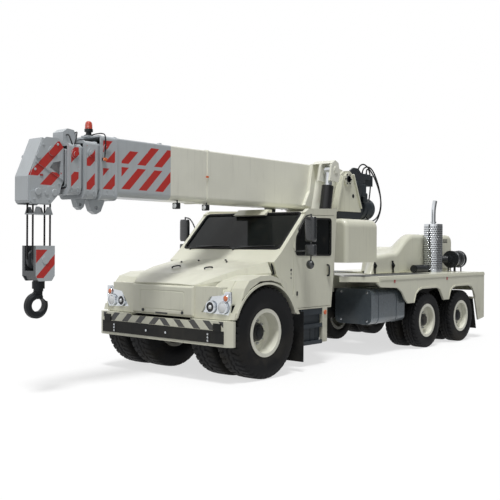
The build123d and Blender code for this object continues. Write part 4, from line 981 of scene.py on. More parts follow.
beacon = at(2.150, 0, 3.405)
beacon_foot = [(0, 0.062), (0.012, 0.062), (0.018, 0.040), (0.050, 0.036), (0.056, 0.058),
               (0.092, 0.058), (0.096, 0.050), (0.096, 0.010)]
beacon_top = [(0.094, 0.052), (0.150, 0.050), (0.180, 0.044), (0.196, 0.030), (0.203, 0.014),
              (0.204, 0.002)]
housings, faces, lamp_y = [turned(beacon_foot, beacon, upward, 32)], [], 0.225
for x in (0.710, 0.085):
    box = facing_x(x - 0.045, lamp_y - 0.050, lamp_y + 0.050, 2.470, 2.560)
    housings.append(cushion(box, [0.080, 0, 0], 0.008))
    faces.append(turned(dome(0.038, 0.012), at(x + 0.035, lamp_y, 2.515), ahead, 24))
    stem = rounded([at(x - 0.02, lamp_y, 2.550), at(x - 0.02, lamp_y, 2.600),
                    at(x - 0.02, lamp_y - 0.05, 2.612)], 2)
    housings.append(carried(stem, round_profile(0.012, 8), ahead))
side_lamp = (2.092, 2.158, 3.052, 3.094)
housings.append(cushion(facing_y(0.290, *side_lamp), [0, 0.022, 0], 0.004))
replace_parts(piece("lamp_housings", "boom_base", black_plastic, housings),
            "boom_lamps")
piece("work_lamp_faces", "boom_base", lamp_glass, faces)
piece("boom_side_lamp", "boom_base", amber_lens,
      [cushion(facing_y(0.310, *side_lamp), [0, 0.020, 0], 0.006),
       cushion(facing_y(0.284, 0.085, 0.140, 2.965, 2.995), [0, 0.012, 0], 0.003)])
beacon_lens = lens("beacon_lens", srgb(206, 46, 22), srgb(244, 112, 52))
piece("beacon_dome", "boom_base", beacon_lens, [turned(beacon_top, beacon, upward, 32)])
print("beacon and", len(faces), "work lamps")

# %% [markdown]
# ## Perforated sheet
# The silencer stands in a shield of perforated sheet. Thousands of real holes would be heavy, so
# they are drawn: the angle round the axis times the radius gives the place along the sheet, and
# every second row is shifted by half a pitch. Each dot is dark and dull: painted shade for the gap
# seen through a hole.

# %% Perforated sheet
exhaust_x, exhaust_y = -6.300, 0.745
shield_radius, sheet, silencer_radius, holes_round = 0.192, 0.012, 0.150, 27
holed_steel = Finish("holed_steel")
round_it = holed_steel.node("ShaderNodeMath", {"operation": "ARCTAN2"},
                            {0: holed_steel.y - exhaust_y, 1: holed_steel.x - (axle_x + exhaust_x)})
hole_pitch = 2 * np.pi * shield_radius / holes_round
row = holed_steel.z / hole_pitch
row_number = row - row.fraction()
column = round_it * (shield_radius / hole_pitch) + row_number * 0.5 + 40.0
across_hole, along_hole = column.fraction() - 0.5, row.fraction() - 0.5
far_from_hole = holed_steel.ease(across_hole * across_hole + along_hole * along_hole, 0.095, 0.13)
on_shield = band(holed_steel, holed_steel.z, 1.46, 2.37)
# Painted shade: inside each dot the colour is dark, for the gap behind the hole.
hole = (1 - far_from_hole) * on_shield
brushed = holed_steel.noise(60.0, 4.0, (8.0, 8.0, 0.15))
# Painted reflection: random patches of a darker steel tone stand for dim reflections.
dim_reflection_patches = holed_steel.ease(holed_steel.noise(2.4, 4.0), 0.35, 0.75) * 0.5
steel = holed_steel.blend(dim_reflection_patches, srgb(214, 218, 222), srgb(178, 181, 182))
holed_steel.feed("Base Color", holed_steel.blend(hole, steel, srgb(26, 27, 29)))
holed_steel.feed("Metallic", 1 - hole)
holed_steel.feed("Roughness", 0.10 + (brushed - 0.5) * 0.06 + hole * 0.5)
holed_steel.bump(1 - hole, 0.002)
print("hole pitch", round(hole_pitch, 4), "m")

# %% [markdown]
# ## Exhaust
# The shield, the silencer inside it and the clamp are profiles turned about the upright axis. The
# pipe on top is a circle carried along a bent line, and a dull black disc in its mouth stands for
# the sooty inside of the pipe and, as painted shade, its darkness.

# %% Exhaust
inside = shield_radius - sheet
sheet_line = [(1.405, inside), (1.405, shield_radius), (2.405, shield_radius),
              (2.412, shield_radius - 0.004), (2.405, inside), (2.398, inside)]
origin = at(exhaust_x, exhaust_y, 0)
clamp_line = [(2.432, 0.052), (2.432, 0.062), (2.462, 0.062), (2.462, 0.052)]
tip = at(exhaust_x - 0.066, exhaust_y, 2.895)
bend = rounded([origin + upward * z for z in (2.36, 2.50, 2.712)] + [tip], 4)
shield = piece("exhaust_shield", "rear_chassis", holed_steel,
               [turned(sheet_line, origin, upward, 96, loop=True),
                turned([(1.407, silencer_radius), (2.385, silencer_radius)], origin, upward, 64),
                carried(bend, round_profile(0.047, 28), sideways),
                turned(clamp_line, origin, upward, 40, loop=True)])
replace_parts(shield, "exhaust")
# Partly painted shade: the black disc stands for the soot and the shade inside the pipe.
piece("exhaust_mouth_shade", "rear_chassis", black_iron,
      [turned([(-0.004, 0.040), (0.002, 0.040), (0.002, 0.002)], tip, unit([-0.34, 0, 0.94]), 28)])
print("exhaust: shield, silencer, clamp and pipe up to z", tip[2])

# %% [markdown]
# ## Engine hood
# The hood is one moulded shell: low and rounded in front, rising in a soft shoulder to the full
# height over the engine. The shoulder sets in later on the far side, so its top is a function of
# both x and y. A cross-section is carried from front to rear, and a Solidify modifier gives the
# open shell its wall, so that it is hollow when it is lifted.

# %% Engine hood
def step(value):
    """0 below 0, 1 above 1, and 3t^2 - 2t^3 between."""
    t = np.clip(value, 0, 1)
    return t * t * (3 - 2 * t)


def over(wall, corner, crown):
    """Values along the cross-section: up one wall, round the corner, over the top and mirrored."""
    return np.concatenate([wall, corner, crown, corner[::-1], wall[::-1]])


hood_half, hood_foot, shell_corner = 0.535, 1.411, 0.085
front_lip, rear_top, straight_run = 1.405, 2.195, 3.30
rear_bow, quarter = np.linspace(0.1, np.pi / 2, 10), np.linspace(0, np.pi / 2, 8)
# rows from front to rear: the rounded front, the straight run, and the bend over the rear edge
back_line = np.concatenate([np.linspace(0, 0.30, 12), np.linspace(0.33, straight_run, 90),
                            straight_run + shell_corner * np.sin(rear_bow)])
rear_drop = np.concatenate([np.zeros(102), 1 - np.cos(rear_bow)])[:, None]
# columns across: how far each has come in and up round the corner, and how far up the wall
in_corner = over(np.zeros(10), 1 - np.cos(quarter), np.ones(30))
up_corner = over(np.zeros(10), np.sin(quarter), np.ones(30))
climb = over(np.linspace(0, 1, 10), np.ones(8), np.ones(30))
y_edge = np.concatenate([np.full(18, -1.0), np.linspace(-0.84, 0.84, 30), np.full(18, 1.0)])
y_line = y_edge * np.where(np.abs(y_edge) < 1, hood_half, hood_half - shell_corner * in_corner)
from_front, yy = np.meshgrid(back_line, y_line, indexing="ij")
# the front edge lies 4.155 m behind the axle on the left and 1.35 m further back on the right
hood_front = 4.155 + 1.35 * step((hood_half - yy) / (2 * hood_half))
back = hood_front + from_front * (7.55 - hood_front) / (straight_run + shell_corner)
# the low part rises twice by a little, and the shoulder sets in up to 1.5 m later on the right
crown = 1.770 + 0.045 * step((back - 4.42) / 0.66) + 0.115 * step((back - 5.1) / 0.7)
low_top = front_lip + (crown - front_lip) * step(from_front / 0.30) ** 0.7
shoulder = step((back - 5.10 - 1.50 * step((0.45 - yy) / 0.95)) / 0.78)
top = low_top + (rear_top - low_top) * shoulder - rear_drop * shell_corner
zz = np.where(climb < 1, hood_foot + (top - shell_corner - hood_foot) * climb,
              top - shell_corner * (1 - up_corner))
zz = np.maximum(zz, hood_foot)
print("hood grid", zz.shape, "top", zz.max().round(3))

# %% [markdown]
# The rear wall is eleven more rows straight down. The grid is open below, so it can't be closed
# by the helper above: it is made as an open mesh, turned to face outwards, and thickened inwards.

# %% Engine hood: the wall
rear_z = hood_foot + (zz[-1] - hood_foot) * np.linspace(1, 0, 12)[1:, None]
rear_rows = np.stack(np.broadcast_arrays(axle_x - back[-1], yy[-1], rear_z), axis=2)
shell = np.concatenate([np.stack([axle_x - back, yy, zz], axis=2), rear_rows])
rows, cols, _ = shell.shape
r, c = np.meshgrid(np.arange(rows - 1), np.arange(cols - 1), indexing="ij")
first = r * cols + c
quads = np.stack([first, first + 1, first + cols + 1, first + cols], axis=2).reshape(-1, 4)
hood_mesh = bpy.data.meshes.new("hood_shell")
hood_mesh.from_pydata(shell.reshape(-1, 3).tolist(), [], quads.tolist())
hood_mesh.update()
centre_face = hood_mesh.polygons[(rows // 2) * (cols - 1) + cols // 2]
if centre_face.normal.z < 0:
    hood_mesh.flip_normals()
hood_mesh.materials.append(cream_paint.material)
hood_mesh.shade_smooth()
hood_mesh.set_sharp_from_angle(angle=np.radians(50))
hood_shell = add("hood_shell", hood_mesh)
wall = hood_shell.modifiers.new("wall", "SOLIDIFY")
wall.thickness, wall.offset = 0.022, -1.0
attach(hood_shell, "engine_hood")
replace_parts(hood_shell, "engine_hood")
print("hood faces:", len(hood_mesh.polygons))

# %% [markdown]
# ## Hood fittings
# Two rubber toggle latches hold the hood's left side down, and three air slots sit high at the
# rear, drawn as black strips that are painted shade for the openings. A latch is a tapered strap
# with a bulge in the middle, carried along a short line.

# %% Hood fittings
def latch(foot, head, width):
    """Strap from foot to head, t from 0 to 1: half width = width * (0.40 + 0.75 * bell), the bell
    exp(-((t - 0.62) / 0.16)^2), and 0.2 wider at the head."""
    t = np.linspace(0, 1, 16)
    centre = foot + (head - foot) * t[:, None]
    half_width = width * (0.40 + 0.75 * np.exp(-((t - 0.62) / 0.16) ** 2) + 0.2 * (t > 0.93))
    thick = 0.012 + 0.012 * np.exp(-((t - 0.62) / 0.2) ** 2)
    angle = np.linspace(0, 2 * np.pi, 12, endpoint=False)
    ring_x, ring_y = half_width[:, None] * np.cos(angle), thick[:, None] * (1 + np.sin(angle))
    return surface(centre[:, None] + ring_x[..., None] * ahead + ring_y[..., None] * sideways)


straps = [latch(at(x, 0.537, 1.418), at(x + 0.03, 0.537, 1.655), 0.050) for x in (-4.33, -5.01)]
piece("hood_latches", "engine_hood", rubber, straps)
# Painted shade: the air slots are black strips on the side of the hood.
vent_slot_shades = [cushion(facing_y(side * 0.530, -7.36, -7.15, z, z + 0.014), [0, side * 0.008, 0],
                 0.002, 0.005) for side in (1, -1) for z in (2.030, 2.058, 2.086)]
grille_x = -7.541
grille = [cushion(facing_x(grille_x, -0.40, 0.40, z, z + 0.030), [-0.008, 0, 0], 0.003, 0.008)
          for z in np.arange(1.56, 2.04, 0.06)]
piece("hood_vents", "engine_hood", black_plastic, vent_slot_shades + grille)
print("latches: 2, vents:", len(vent_slot_shades) + len(grille))

# %% [markdown]
# ## Mast cheeks
# Two thick plates carry the boom's foot pin. Their rear edge runs close behind the pin and leaves
# the winch in view. Each is a plate with its outline's corners rounded, a boss round the pin and
# a stiffening rib along the front edge. Both stand on a dark saddle above the counterweights,
# which stays open between the cheeks, because the winch swings down there as the boom rises.

# %% Mast cheeks
cheek_line = [(-2.965, 2.575), (-3.180, 3.230), (-3.290, 3.315), (-3.500, 3.332), (-3.590, 3.270),
              (-3.868, 2.640), (-3.895, 2.575)]
rib_line = [(-2.965, 2.565), (-3.182, 3.225), (-3.222, 3.212), (-3.010, 2.560)]
edge_line = [(-3.858, 2.645), (-3.580, 3.262), (-3.610, 3.275), (-3.888, 2.645)]
saddle_line = [(-2.575, 2.425), (-2.940, 2.545), (-2.965, 2.580), (-3.940, 2.580), (-3.960, 2.540),
               (-3.860, 2.425)]
boss_line = [(0.496, 0.120), (0.528, 0.120), (0.534, 0.112), (0.534, 0.004)]
cap_line = [(0.534, 0.060), (0.546, 0.060), (0.552, 0.052), (0.552, 0.004)]
boom_pin = at(-3.400, 0, 3.170)
cheeks, saddle_plates, pins = [], [], []
for side in (1, -1):
    out = side * sideways
    cheeks += [plate(soft_loop(on_plane(side * 0.450, cheek_line), 0.03), out * 0.050, 0.005),
               plate(on_plane(side * 0.498, rib_line), out * 0.074, 0.005),
               plate(on_plane(side * 0.445, edge_line), out * 0.082, 0.005),
               turned(boss_line, boom_pin, out, 48)]
    saddle_plates.append(plate(soft_loop(on_plane(side * 0.447, saddle_line), 0.02), out * 0.045,
                               0.004))
    pins += [turned(cap_line, boom_pin, out, 32),
             turned([(0.498, 0.036), (0.503, 0.036), (0.503, 0.003)], at(-3.610, 0, 2.870), out,
                    24)]
    pins += [bolt(spot, out, 0.011, 0.012)
             for spot in bolt_circle(boom_pin + out * 0.534, 0.092, 6)]
saddle_plates.append(plate(facing_x(-3.00, -0.449, 0.449, 2.43, 2.57), [-0.030, 0, 0], 0.004))
cheek_plates = piece("cheek_plates", "front_chassis", cream_paint, cheeks)
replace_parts(cheek_plates, "mast_cheeks")
piece("mast_saddle", "front_chassis", slate_paint, saddle_plates)
piece("cheek_pins", "front_chassis", black_iron, pins)
print("cheeks: 2")

# %% [markdown]
# ## Winch details
# Rope lies in even turns on the drum: a wave in y does that. Behind the side plates sit the valve
# block, its fittings and the motor with its flange. The motor and its hoops are turned, and the
# valve blocks are soft oblongs pulled across the machine.

# %% Winch details
slate_metal = metal("winch_iron", srgb(54, 61, 67), 0.42, grain=70.0, relief=0.001,
                    worn=srgb(82, 88, 92), Metallic=0.35, Specular_IOR_Level=0.35)
winch_axle, drum_half, rope_pitch = at(-3.960, 0, 3.130), 0.262, 0.0175
turns = np.linspace(-drum_half, drum_half, 300)
coil = np.stack([turns, 0.185 + 0.007 * np.abs(np.sin(turns * np.pi / rope_pitch))], axis=1)
coil = np.concatenate([[(-drum_half, 0.166)], coil, [(drum_half, 0.166)]])
piece("drum_rope", "boom_base", wire_rope, [turned(coil, winch_axle, sideways, 72)])
cap_line = [(0.352, 0.052), (0.372, 0.052), (0.378, 0.044), (0.378, 0.004)]
motor_line = [(0, 0.180), (0.010, 0.212), (0.050, 0.216), (0.060, 0.200), (0.330, 0.200),
              (0.345, 0.212), (0.385, 0.212), (0.400, 0.150), (0.410, 0.060), (0.410, 0.004)]
plate_bolts = [(-3.70, 3.16), (-3.80, 3.33), (-4.04, 3.37), (-4.13, 3.10), (-4.03, 2.83),
               (-3.88, 2.80)]
motor_x, motor_z = -4.470, 2.68
parts = []
for side in (1, -1):
    out = side * sideways
    parts += [bolt(spot, out, 0.010, 0.010)
              for spot in bolt_circle(winch_axle + out * 0.352, 0.088, 8)]
    parts += [bolt(spot, out, 0.011, 0.012) for spot in on_plane(side * 0.335, plate_bolts)]
    parts.append(turned(cap_line, winch_axle, out, 32))
for x, r in ((-4.112, 0.215), (-4.30, 0.202), (-4.45, 0.202), (-4.60, 0.205)):
    hoop = [(0, r - 0.012), (0.006, r), (0.028, r), (0.034, r - 0.012)]
    parts.append(turned(hoop, at(x, 0, 2.66), -ahead, 40))
parts.append(turned(motor_line, at(motor_x, 0, motor_z), -ahead, 40))
parts += [bolt(spot, -ahead, 0.013, 0.014)
          for spot in bolt_circle(at(motor_x - 0.398, 0, motor_z), 0.175, 8, sideways)]


def block_of(x_low, x_high, y_low, y_high, z_low, z_high):
    """Cast block: a rounded outline seen from the side, pulled across y."""
    outline = facing_y(y_low, x_low, x_high, z_low, z_high)
    return cushion(outline, [0, y_high - y_low, 0], 0.010, 0.02)


blocks = [(-4.42, -4.24, 0.05, 0.270, 3.230, 3.352), (-4.62, -4.46, 0.02, 0.250, 3.240, 3.352),
          (-4.34, -4.20, 0.130, 0.330, 2.900, 3.140), (-4.50, -4.36, 0.06, 0.260, 2.800, 2.980),
          (-4.34, -4.20, -0.330, -0.130, 2.900, 3.140), (-4.46, -4.26, -0.27, -0.05, 3.240, 3.352)]
parts += [block_of(*box) for box in blocks]
port_line = [(0, 0.026), (0.020, 0.026), (0.022, 0.018), (0.050, 0.018), (0.050, 0.004)]
parts += [turned(port_line, at(x, y, 3.338), upward, 6) for x, y in
          ((-4.32, 0.14), (-4.39, 0.20), (-4.52, 0.08), (-4.57, 0.18), (-4.35, -0.18))]
piece("winch_parts", "boom_base", slate_metal, parts)
print("winch parts:", len(parts))

# %% [markdown]
# ## Winch hoses
# A hose is a fixed length of stiff rubber that leaves a fitting straight, hangs in one slack curve
# and goes back into the machine, so it is a smooth curve through a few points. Its middle line is
# first made bare as a mesh, then the curve is given its thickness.

# %% Winch hoses
hose_rubber = moulded("hose_rubber", srgb(18, 20, 22), 0.42, grain=300.0, Specular_IOR_Level=0.4)


def hose(name, body, route, diameter):
    """Round hose along a smooth curve: the route gives the control points of one NURBS spline.
    The points of its bare middle line are read, but no length is worked out from them."""
    points = np.array([at(*place) for place in route])
    curve = bpy.data.curves.new(name, "CURVE")
    curve.dimensions = "3D"
    line = curve.splines.new("NURBS")
    line.points.add(len(points) - 1)
    weighted = np.concatenate([points, np.ones((len(points), 1))], axis=1)
    line.points.foreach_set("co", weighted.ravel())
    line.order_u = 3
    line.use_endpoint_u = True
    line.resolution_u = 12
    made = add(name, curve)
    bare = bpy.data.meshes.new_from_object(made)
    track = np.empty(len(bare.vertices) * 3, dtype=np.float32)
    bare.vertices.foreach_get("co", track)
    curve.bevel_depth, curve.bevel_resolution, curve.use_fill_caps = diameter / 2, 3, True
    curve.materials.append(hose_rubber.material)
    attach(made, body)


hoses = {
    "hose_outer": [(-4.32, 0.14, 3.365), (-4.32, 0.15, 3.500), (-4.50, 0.19, 3.575),
                   (-4.80, 0.22, 3.34), (-5.06, 0.21, 2.98), (-5.15, 0.18, 2.70),
                   (-5.02, 0.15, 2.42), (-4.80, 0.10, 2.33), (-4.665, 0.06, 2.38),
                   (-4.655, 0.05, 2.545)],
    "hose_inner": [(-4.39, 0.20, 3.365), (-4.39, 0.21, 3.480), (-4.60, 0.27, 3.510),
                   (-4.82, 0.29, 3.22), (-5.00, 0.27, 2.86), (-4.98, 0.24, 2.58),
                   (-4.86, 0.18, 2.44), (-4.70, 0.13, 2.44), (-4.665, 0.10, 2.600)],
    "hose_short": [(-4.57, 0.18, 3.365), (-4.57, 0.18, 3.460), (-4.72, 0.15, 3.470),
                   (-4.90, 0.08, 3.28), (-4.95, 0.03, 3.00), (-4.93, 0.0, 2.76),
                   (-4.87, 0.0, 2.665), (-4.80, 0.0, 2.66)],
}
for name, route in hoses.items():
    hose(name, "boom_base", route, 0.028)

# %% [markdown]
# ## Falls and their plate
# Four falls of wire rope run from the head to the block. A rope is strands laid round each
# other: its section is a circle with six shallow waves, and the waves turn as the rope climbs.
# The plate between them hangs under the head on two pairs of tapered ears.

# %% Falls and their plate
def wire(foot, head, radius, strands=6, lay=0.16, rows_per_lay=14):
    """Upright rope: r = radius * (0.90 + 0.10 * |cos(strands * (angle - twist) / 2)|), with
    twist = 2 pi * height / lay."""
    height = head[2] - foot[2]
    z = np.linspace(0, height, int(height / lay * rows_per_lay))[:, None]
    angle = np.linspace(0, 2 * np.pi, 24, endpoint=False)[None]
    r = radius * (0.90 + 0.10 * np.abs(np.cos(strands * (angle - 2 * np.pi * z / lay) / 2)))
    grid = np.stack([r * np.cos(angle), r * np.sin(angle), z + 0 * angle], axis=2)
    return surface(grid + foot)


block_z, head_z, rope_radius = 1.745, 2.560, 0.0125
falls = [wire(at(x, y, block_z), at(x, y, head_z), rope_radius)
         for x in (2.810, 3.070) for y in (-0.060, 0.060)]
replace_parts(piece("wire_falls", "hook_block", wire_rope, falls), "hook_ropes")
floor_z, ear_foot, ear_top = 2.315, 2.331, 2.414
tray_corners = [at(x, y, floor_z) for x, y in ((2.795, -0.110), (3.085, -0.110), (3.085, 0.110),
                                               (2.795, 0.110))]
tray = [plate(soft_loop(tray_corners, 0.02), [0, 0, 0.018], 0.004)]
for y in (-0.100, 0.092):
    for x_low, x_high in ((2.800, 2.915), (2.965, 3.080)):
        ear = [(x_low, ear_foot), (x_high, ear_foot), (x_high - 0.030, ear_top),
               (x_low + 0.030, ear_top)]
        tray.append(plate(on_plane(y, ear), [0, 0.010, 0], 0.002))
piece("rope_plate", "hook_block", grey_paint, tray)
print("falls: 4")

# %% [markdown]
# ## Cab fittings
# A closed step box hangs under each door, with a slot in front and two pressed grooves below,
# drawn as thin black strips that are painted shade for their depth. The door has a grab handle
# and a lock, and a rubber strap latches the bonnet to the cab. A strap is a flat oval section
# that swells near its upper end.

# %% Cab fittings
slot_boxes = ((-1.42, -1.26, 0.835, 0.862), (-1.50, -1.492, 0.41, 0.61),
              (-1.64, -1.632, 0.41, 0.61))
boxes, step_slot_shades, catches = [], [], []
for side in (1, -1):
    boxes.append(cushion(facing_y(side * 0.90, -1.760, -1.196, 0.362, 0.905), [0, side * 0.165, 0],
                         0.010, 0.02))
    # Painted shade: the slot and the grooves are thin black strips on the box.
    step_slot_shades += [cushion(facing_y(side * 1.062, *box), [0, side * 0.006, 0], 0.002, 0.003)
                   for box in slot_boxes]
piece("step_boxes", "front_chassis", step_black, boxes)
piece("step_slot_shades", "front_chassis", seal_rubber, step_slot_shades)
for label, side in sides:
    grip = rounded([at(-1.888, side * 1.120, 1.630), at(-1.888, side * 1.165, 1.630),
                    at(-1.893, side * 1.165, 1.455), at(-1.893, side * 1.120, 1.455)], 3)
    lock = facing_y(side * 1.119, -1.086, -1.054, 1.155, 1.225)
    piece(f"door_fittings_{label}", f"door_{label}", black_plastic,
          [carried(grip, round_profile(0.013, 10), ahead),
           cushion(lock, [0, side * 0.010, 0], 0.003, 0.008)])
t, angle = np.linspace(0, 1, 14), np.linspace(0, 2 * np.pi, 12, endpoint=False)
half_width = 0.016 + 0.016 * np.exp(-((t - 0.75) / 0.14) ** 2) + 0.010 * (t < 0.12)
for label, side in sides:
    line = np.linspace(at(-0.500, side * 1.102, 1.500), at(-0.500, side * 1.066, 1.672), 14)
    flat = (half_width[:, None] * np.cos(angle))[..., None] * ahead
    thick = 0.014 * np.sin(angle)[:, None] * unit([0, side, 0.22])
    catches.append(surface(line[:, None] + flat + thick))
    dots = [turned([(1.115, r), (1.124, r), (1.127, r * 0.6), (1.127, 0.003)], at(-0.912, 0, z),
                   side * sideways, 16)
            for z, r in ((1.563, 0.018), (1.501, 0.011), (1.438, 0.011))]
    piece(f"cab_side_dots_{label}", "front_chassis", black_plastic, dots)
piece("bonnet_catches", "bonnet", rubber, catches)
print("cab fittings: step boxes 2, grips 2, catches 2")

# %% [markdown]
# ## Mirrors
# Each door carries a tall mirror, a low wide-angle one and a small round one on a tube. A case is
# a stack of rounded oblongs that shrink toward its top and bottom. Its front is full and its rear
# flat, where the glass sits.

# %% Mirrors
def mirror_case(x, y, z_low, z_high, depth=0.130, width=0.200):
    """Rows in z, columns round: |x / half depth|^3 + |y / half width|^3 = 1, the rear half
    flattened to 0.45 of its depth, and each row shrunk by 0.16 * |t|^12, t going from -1 to 1 up
    the case."""
    t = np.sin(np.linspace(-np.pi / 2, np.pi / 2, 26))[:, None]
    angle = np.linspace(0, 2 * np.pi, 44, endpoint=False)[None]
    shrink = 1 - 0.16 * np.abs(t) ** 12
    forward = np.sign(np.cos(angle)) * np.abs(np.cos(angle)) ** (2 / 3)
    across = np.sign(np.sin(angle)) * np.abs(np.sin(angle)) ** (2 / 3)
    forward = np.where(forward < 0, forward * 0.45, forward)
    height = (z_low + z_high) / 2 + t * (z_high - z_low) / 2
    grid = np.stack([forward * shrink * depth / 2, across * shrink * width / 2, height + 0 * angle],
                    axis=2)
    return surface(grid + at(x, y, 0))


round_line = [(-0.030, 0.004), (-0.030, 0.064), (-0.018, 0.070), (0.006, 0.066), (0.026, 0.048),
              (0.036, 0.024), (0.038, 0.004)]
tube, mirror_x = round_profile(0.012, 12), -1.085
for label, side in sides:
    y, door_y, bend_y = side * 1.375, side * 1.112, side * 1.25
    bow = rounded([at(mirror_x, y, 2.435), at(mirror_x, y, 2.10), at(mirror_x, y, 1.70),
                   at(-1.060, y, 1.655)], 3)
    stays = [[at(-1.100, door_y, 2.180), at(-1.098, bend_y, 2.405), at(mirror_x, y, 2.425)],
             [at(-1.018, door_y, 1.850), at(-1.045, bend_y, 1.862), at(mirror_x, y, 1.870)]]
    cases = [mirror_case(mirror_x, y, 2.005, 2.390), mirror_case(mirror_x, y, 1.785, 1.960),
             turned(round_line, at(-1.055, y, 1.650), ahead, 40), carried(bow, tube, sideways)]
    cases += [carried(rounded(stay, 3), tube, [1, 0, 0.1]) for stay in stays]
    heads = piece(f"mirror_heads_{label}", f"door_{label}", mirror_black, cases)
    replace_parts(heads, f"mirrors_{label}")
    glasses = [cushion(facing_x(-1.113, y - 0.082, y + 0.082, *heights), [-0.005, 0, 0], 0.001,
                       0.03) for heights in ((2.035, 2.360), (1.808, 1.937))]
    piece(f"mirror_glass_{label}", f"door_{label}", lamp_mirror, glasses)
print("mirrors: 3 on each door")

# %% [markdown]
# ## Deck mat, tank bolts and clamps
# A dark ribbed mat lies on the front of the deck on each side. Its inner edge follows a circle
# round the chassis pivot, so that the mast passes it when the crane steers. The tank's end plate
# is bolted at its corners, and steel bands with a buckle clamp the air cleaner.

# %% Deck mat, tank bolts and clamps
pivot_x, swept_radius = -2.50, 0.88


def ribbed(x_low, x_high, y_inner, y_outer, side, z, height=0.006, pitch=0.05):
    """Mat: z = floor + height, less 2 mm where a cosine of x dips. Its inner edge is at y_inner,
    or on the circle (x - pivot_x)^2 + y^2 = swept_radius^2 where that lies further out."""
    x = np.linspace(x_low, x_high, 480)
    inner = np.maximum(y_inner, np.sqrt(np.maximum(swept_radius ** 2 - (x - pivot_x) ** 2, 0)))
    top = z + height - 0.002 * (np.cos(2 * np.pi * x / pitch) < -0.2)
    low = np.full_like(x, z)
    outer = np.full_like(x, y_outer)
    line = [np.stack([axle_x + x, side * y, level], axis=1)
            for y, level in ((inner, low), (inner, top), (outer, top), (outer, low))]
    return surface(np.stack(line, axis=1))


mats = [ribbed(-5.35, -2.96, 0.62, 1.16, side, 1.4045) for side in (1, -1)]
piece("deck_mats", "rear_chassis", slate_paint, mats)
ends = [bolt(at(-3.062, side * y, z), ahead, 0.016, 0.010) for side in (1, -1)
        for y, z in ((0.62, 1.12), (1.16, 1.12), (0.62, 0.63), (1.16, 0.62))]
band_line = [(0, 0.172), (0, 0.180), (0.030, 0.180), (0.030, 0.172)]
buckle_way = unit([0, 0.8, 0.6])
cleaner = [at(x, 0.800, 1.670) for x in (-7.05, -7.32)]
bands = [turned(band_line, spot, ahead, 56, loop=True) for spot in cleaner]
buckles = [bolt(spot + 0.015 * ahead + 0.186 * buckle_way, buckle_way, 0.018, 0.014)
           for spot in cleaner]
piece("tank_and_clamp_bolts", "rear_chassis", shield_steel, ends + bands + buckles)
print("mats: 2, tank bolts:", len(ends))

# %% [markdown]
# ## Boom fittings
# Bolts sit on the collars' lower corners, bosses, bolts and a red marker on the head. A cable
# runs from the beacon down the collar to its side lamp, and two short hoses loop at the reel
# cover. They are made by the same recipe as the winch hoses.

# %% Boom fittings
collars = (("base", "boom_base", 0.282, (1.95, 2.06), (2.60, 2.66)),
           ("2", "boom_section_2", 0.262, (2.27, 2.37), (2.585, 2.64)),
           ("3", "boom_section_3", 0.242, (2.51, 2.61), (2.625, 2.67)))
for tag, body, y, across, heights in collars:
    piece(f"collar_bolts_{tag}", body, grey_paint,
          [bolt(at(x, side * y, z), side * sideways, 0.009, 0.009)
           for side in (1, -1) for x in across for z in heights])
sheave_boss = [(0.158, 0.046), (0.170, 0.046), (0.175, 0.040), (0.175, 0.004)]
head_bolts = []
for side in (1, -1):
    out = side * sideways
    head_bolts += [turned(sheave_boss, at(x, 0, 2.60), out, 28) for x in (2.815, 3.065)]
    head_bolts += [bolt(at(x, side * y, z), out, 0.012, 0.010) for x, y, z in
                   ((2.76, 0.150, 3.22), (2.98, 0.150, 3.20), (3.10, 0.150, 2.88),
                    (2.74, 0.150, 2.72), (2.90, 0.161, 2.505), (3.12, 0.161, 2.505))]
piece("head_bolts", "boom_section_4", grey_paint, head_bolts)
piece("head_marker", "boom_section_4", red_lens,
      [cushion(facing_y(side * 0.149, 2.985, 3.035, 2.80, 2.825), [0, side * 0.010, 0], 0.003,
               0.006) for side in (1, -1)])
hose("beacon_cable", "boom_base",
     [(2.150, 0.055, 3.412), (2.140, 0.13, 3.424), (2.115, 0.245, 3.428), (2.105, 0.300, 3.400),
      (2.105, 0.304, 3.28), (2.110, 0.302, 3.17), (2.120, 0.302, 3.096)], 0.016)
hose("reel_hose_outer", "boom_section_3",
     [(2.46, 0.095, 3.40), (2.46, 0.150, 3.42), (2.50, 0.200, 3.38), (2.54, 0.235, 3.30),
      (2.57, 0.245, 3.235)], 0.018)
hose("reel_hose_inner", "boom_section_3",
     [(2.60, 0.095, 3.36), (2.60, 0.150, 3.37), (2.605, 0.190, 3.33), (2.60, 0.215, 3.27),
      (2.59, 0.225, 3.235)], 0.018)

# %% [markdown]
# ## Studio
# A pale floor and soft light that comes mostly from above, as under a large ceiling panel. The
# floor glows only for the camera, in reflections and through glass, so it looks white and still
# keeps the shadow. The world is white behind the crane and darker behind the camera and at the
# crane's left, as in a real studio: chrome and gloss then show an edge between light and dark.

# %% Studio: floor and world
view_x, view_y = 0.76, 0.65
floor_finish = Finish("floor", Roughness=0.9, Specular_IOR_Level=0.0, Emission_Strength=1.0)
speck = floor_finish.noise(3.0, 4.0) * 0.02
floor_finish.feed("Base Color",
                  floor_finish.blend(speck, (0.35, 0.35, 0.35, 1), (0.30, 0.30, 0.30, 1)))
to_camera = floor_finish.x * view_x + floor_finish.y * view_y
to_left = floor_finish.y * view_x - floor_finish.x * view_y
beyond = 1 - ((1 - floor_finish.ease(to_camera, 6.0, 13.0) * 0.5)
              * (1 - floor_finish.ease(to_left, 5.0, 9.0)))
rays = floor_finish.node("ShaderNodeLightPath", {}, {}, "Is Camera Ray")
shown = rays + rays.part("Is Transmission Ray") + rays.part("Is Glossy Ray") * (1 - beyond * 0.8)
floor_finish.feed("Emission Color", floor_finish.blend(shown, (0, 0, 0, 1), (0.66, 0.66, 0.66, 1)))
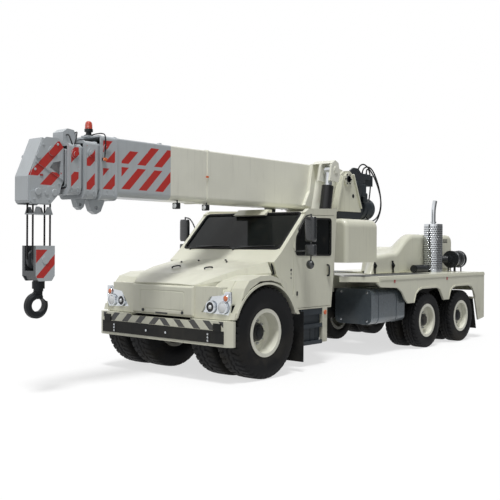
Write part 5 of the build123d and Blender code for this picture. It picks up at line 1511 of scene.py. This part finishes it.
floor_half = 60.0
floor_mesh = bpy.data.meshes.new("floor")
floor_mesh.from_pydata([(x * floor_half, y * floor_half, -0.002)
                        for x, y in ((-1, -1), (1, -1), (1, 1), (-1, 1))], [], [(0, 1, 2, 3)])
floor_mesh.materials.append(floor_finish.material)
add("floor", floor_mesh)

world = bpy.data.worlds.new("studio")
bpy.context.scene.world = world
world.use_nodes = True
sky = Finish.__new__(Finish)
sky.tree = world.node_tree
rays = sky.node("ShaderNodeLightPath", {}, {}, "Is Camera Ray")
direction = sky.node("ShaderNodeTexCoord", {}, {}, "Generated")
behind, beside = (sky.node("ShaderNodeVectorMath", {"operation": "DOT_PRODUCT"},
                           {0: direction, 1: way}, "Value")
                  for way in ((view_x, view_y, 0.0), (-view_y, view_x, 0.0)))
mirrored = (1 - sky.ease(behind, 0.60, 0.97) * 0.25) * (1 - sky.ease(beside, 0.25, 0.70) * 0.82)
strength = (rays + (1 - rays) * rays.part("Is Transmission Ray")
            + (1 - rays) * rays.part("Is Glossy Ray") * mirrored
            + rays.part("Is Diffuse Ray") * 0.32)
sky.tree.links.new(strength.socket, sky.tree.nodes["Background"].inputs["Strength"])
sky.tree.nodes["Background"].inputs["Color"].default_value = (1, 1, 1, 1)
print("floor", 2 * floor_half, "m wide, world with a darker side behind the camera")

# %% [markdown]
# A broad soft lamp overhead makes the pale shadow, and a very weak one lifts the front a little. A
# sun with a wide angle is chosen, as its light is even over a machine of this length.

# %% Studio: lamps
def sun(name, toward, strength, softness):
    """Distant lamp that shines from the direction `toward`."""
    data = bpy.data.lights.new(name, "SUN")
    data.energy, data.angle = strength, np.radians(softness)
    z = unit(toward)
    x = unit(np.cross([0, 0, 1], z))
    m = np.eye(4)
    m[:3, 0], m[:3, 1], m[:3, 2] = x, np.cross(z, x), z
    add(name, data).matrix_world = Matrix(m.tolist())


sun("key_light", (0.29, 0.24, 1.0), 2.3, 14)
sun("fill_light", (0.8, 0.3, 0.3), 0.12, 40)
print("lamps: 2")
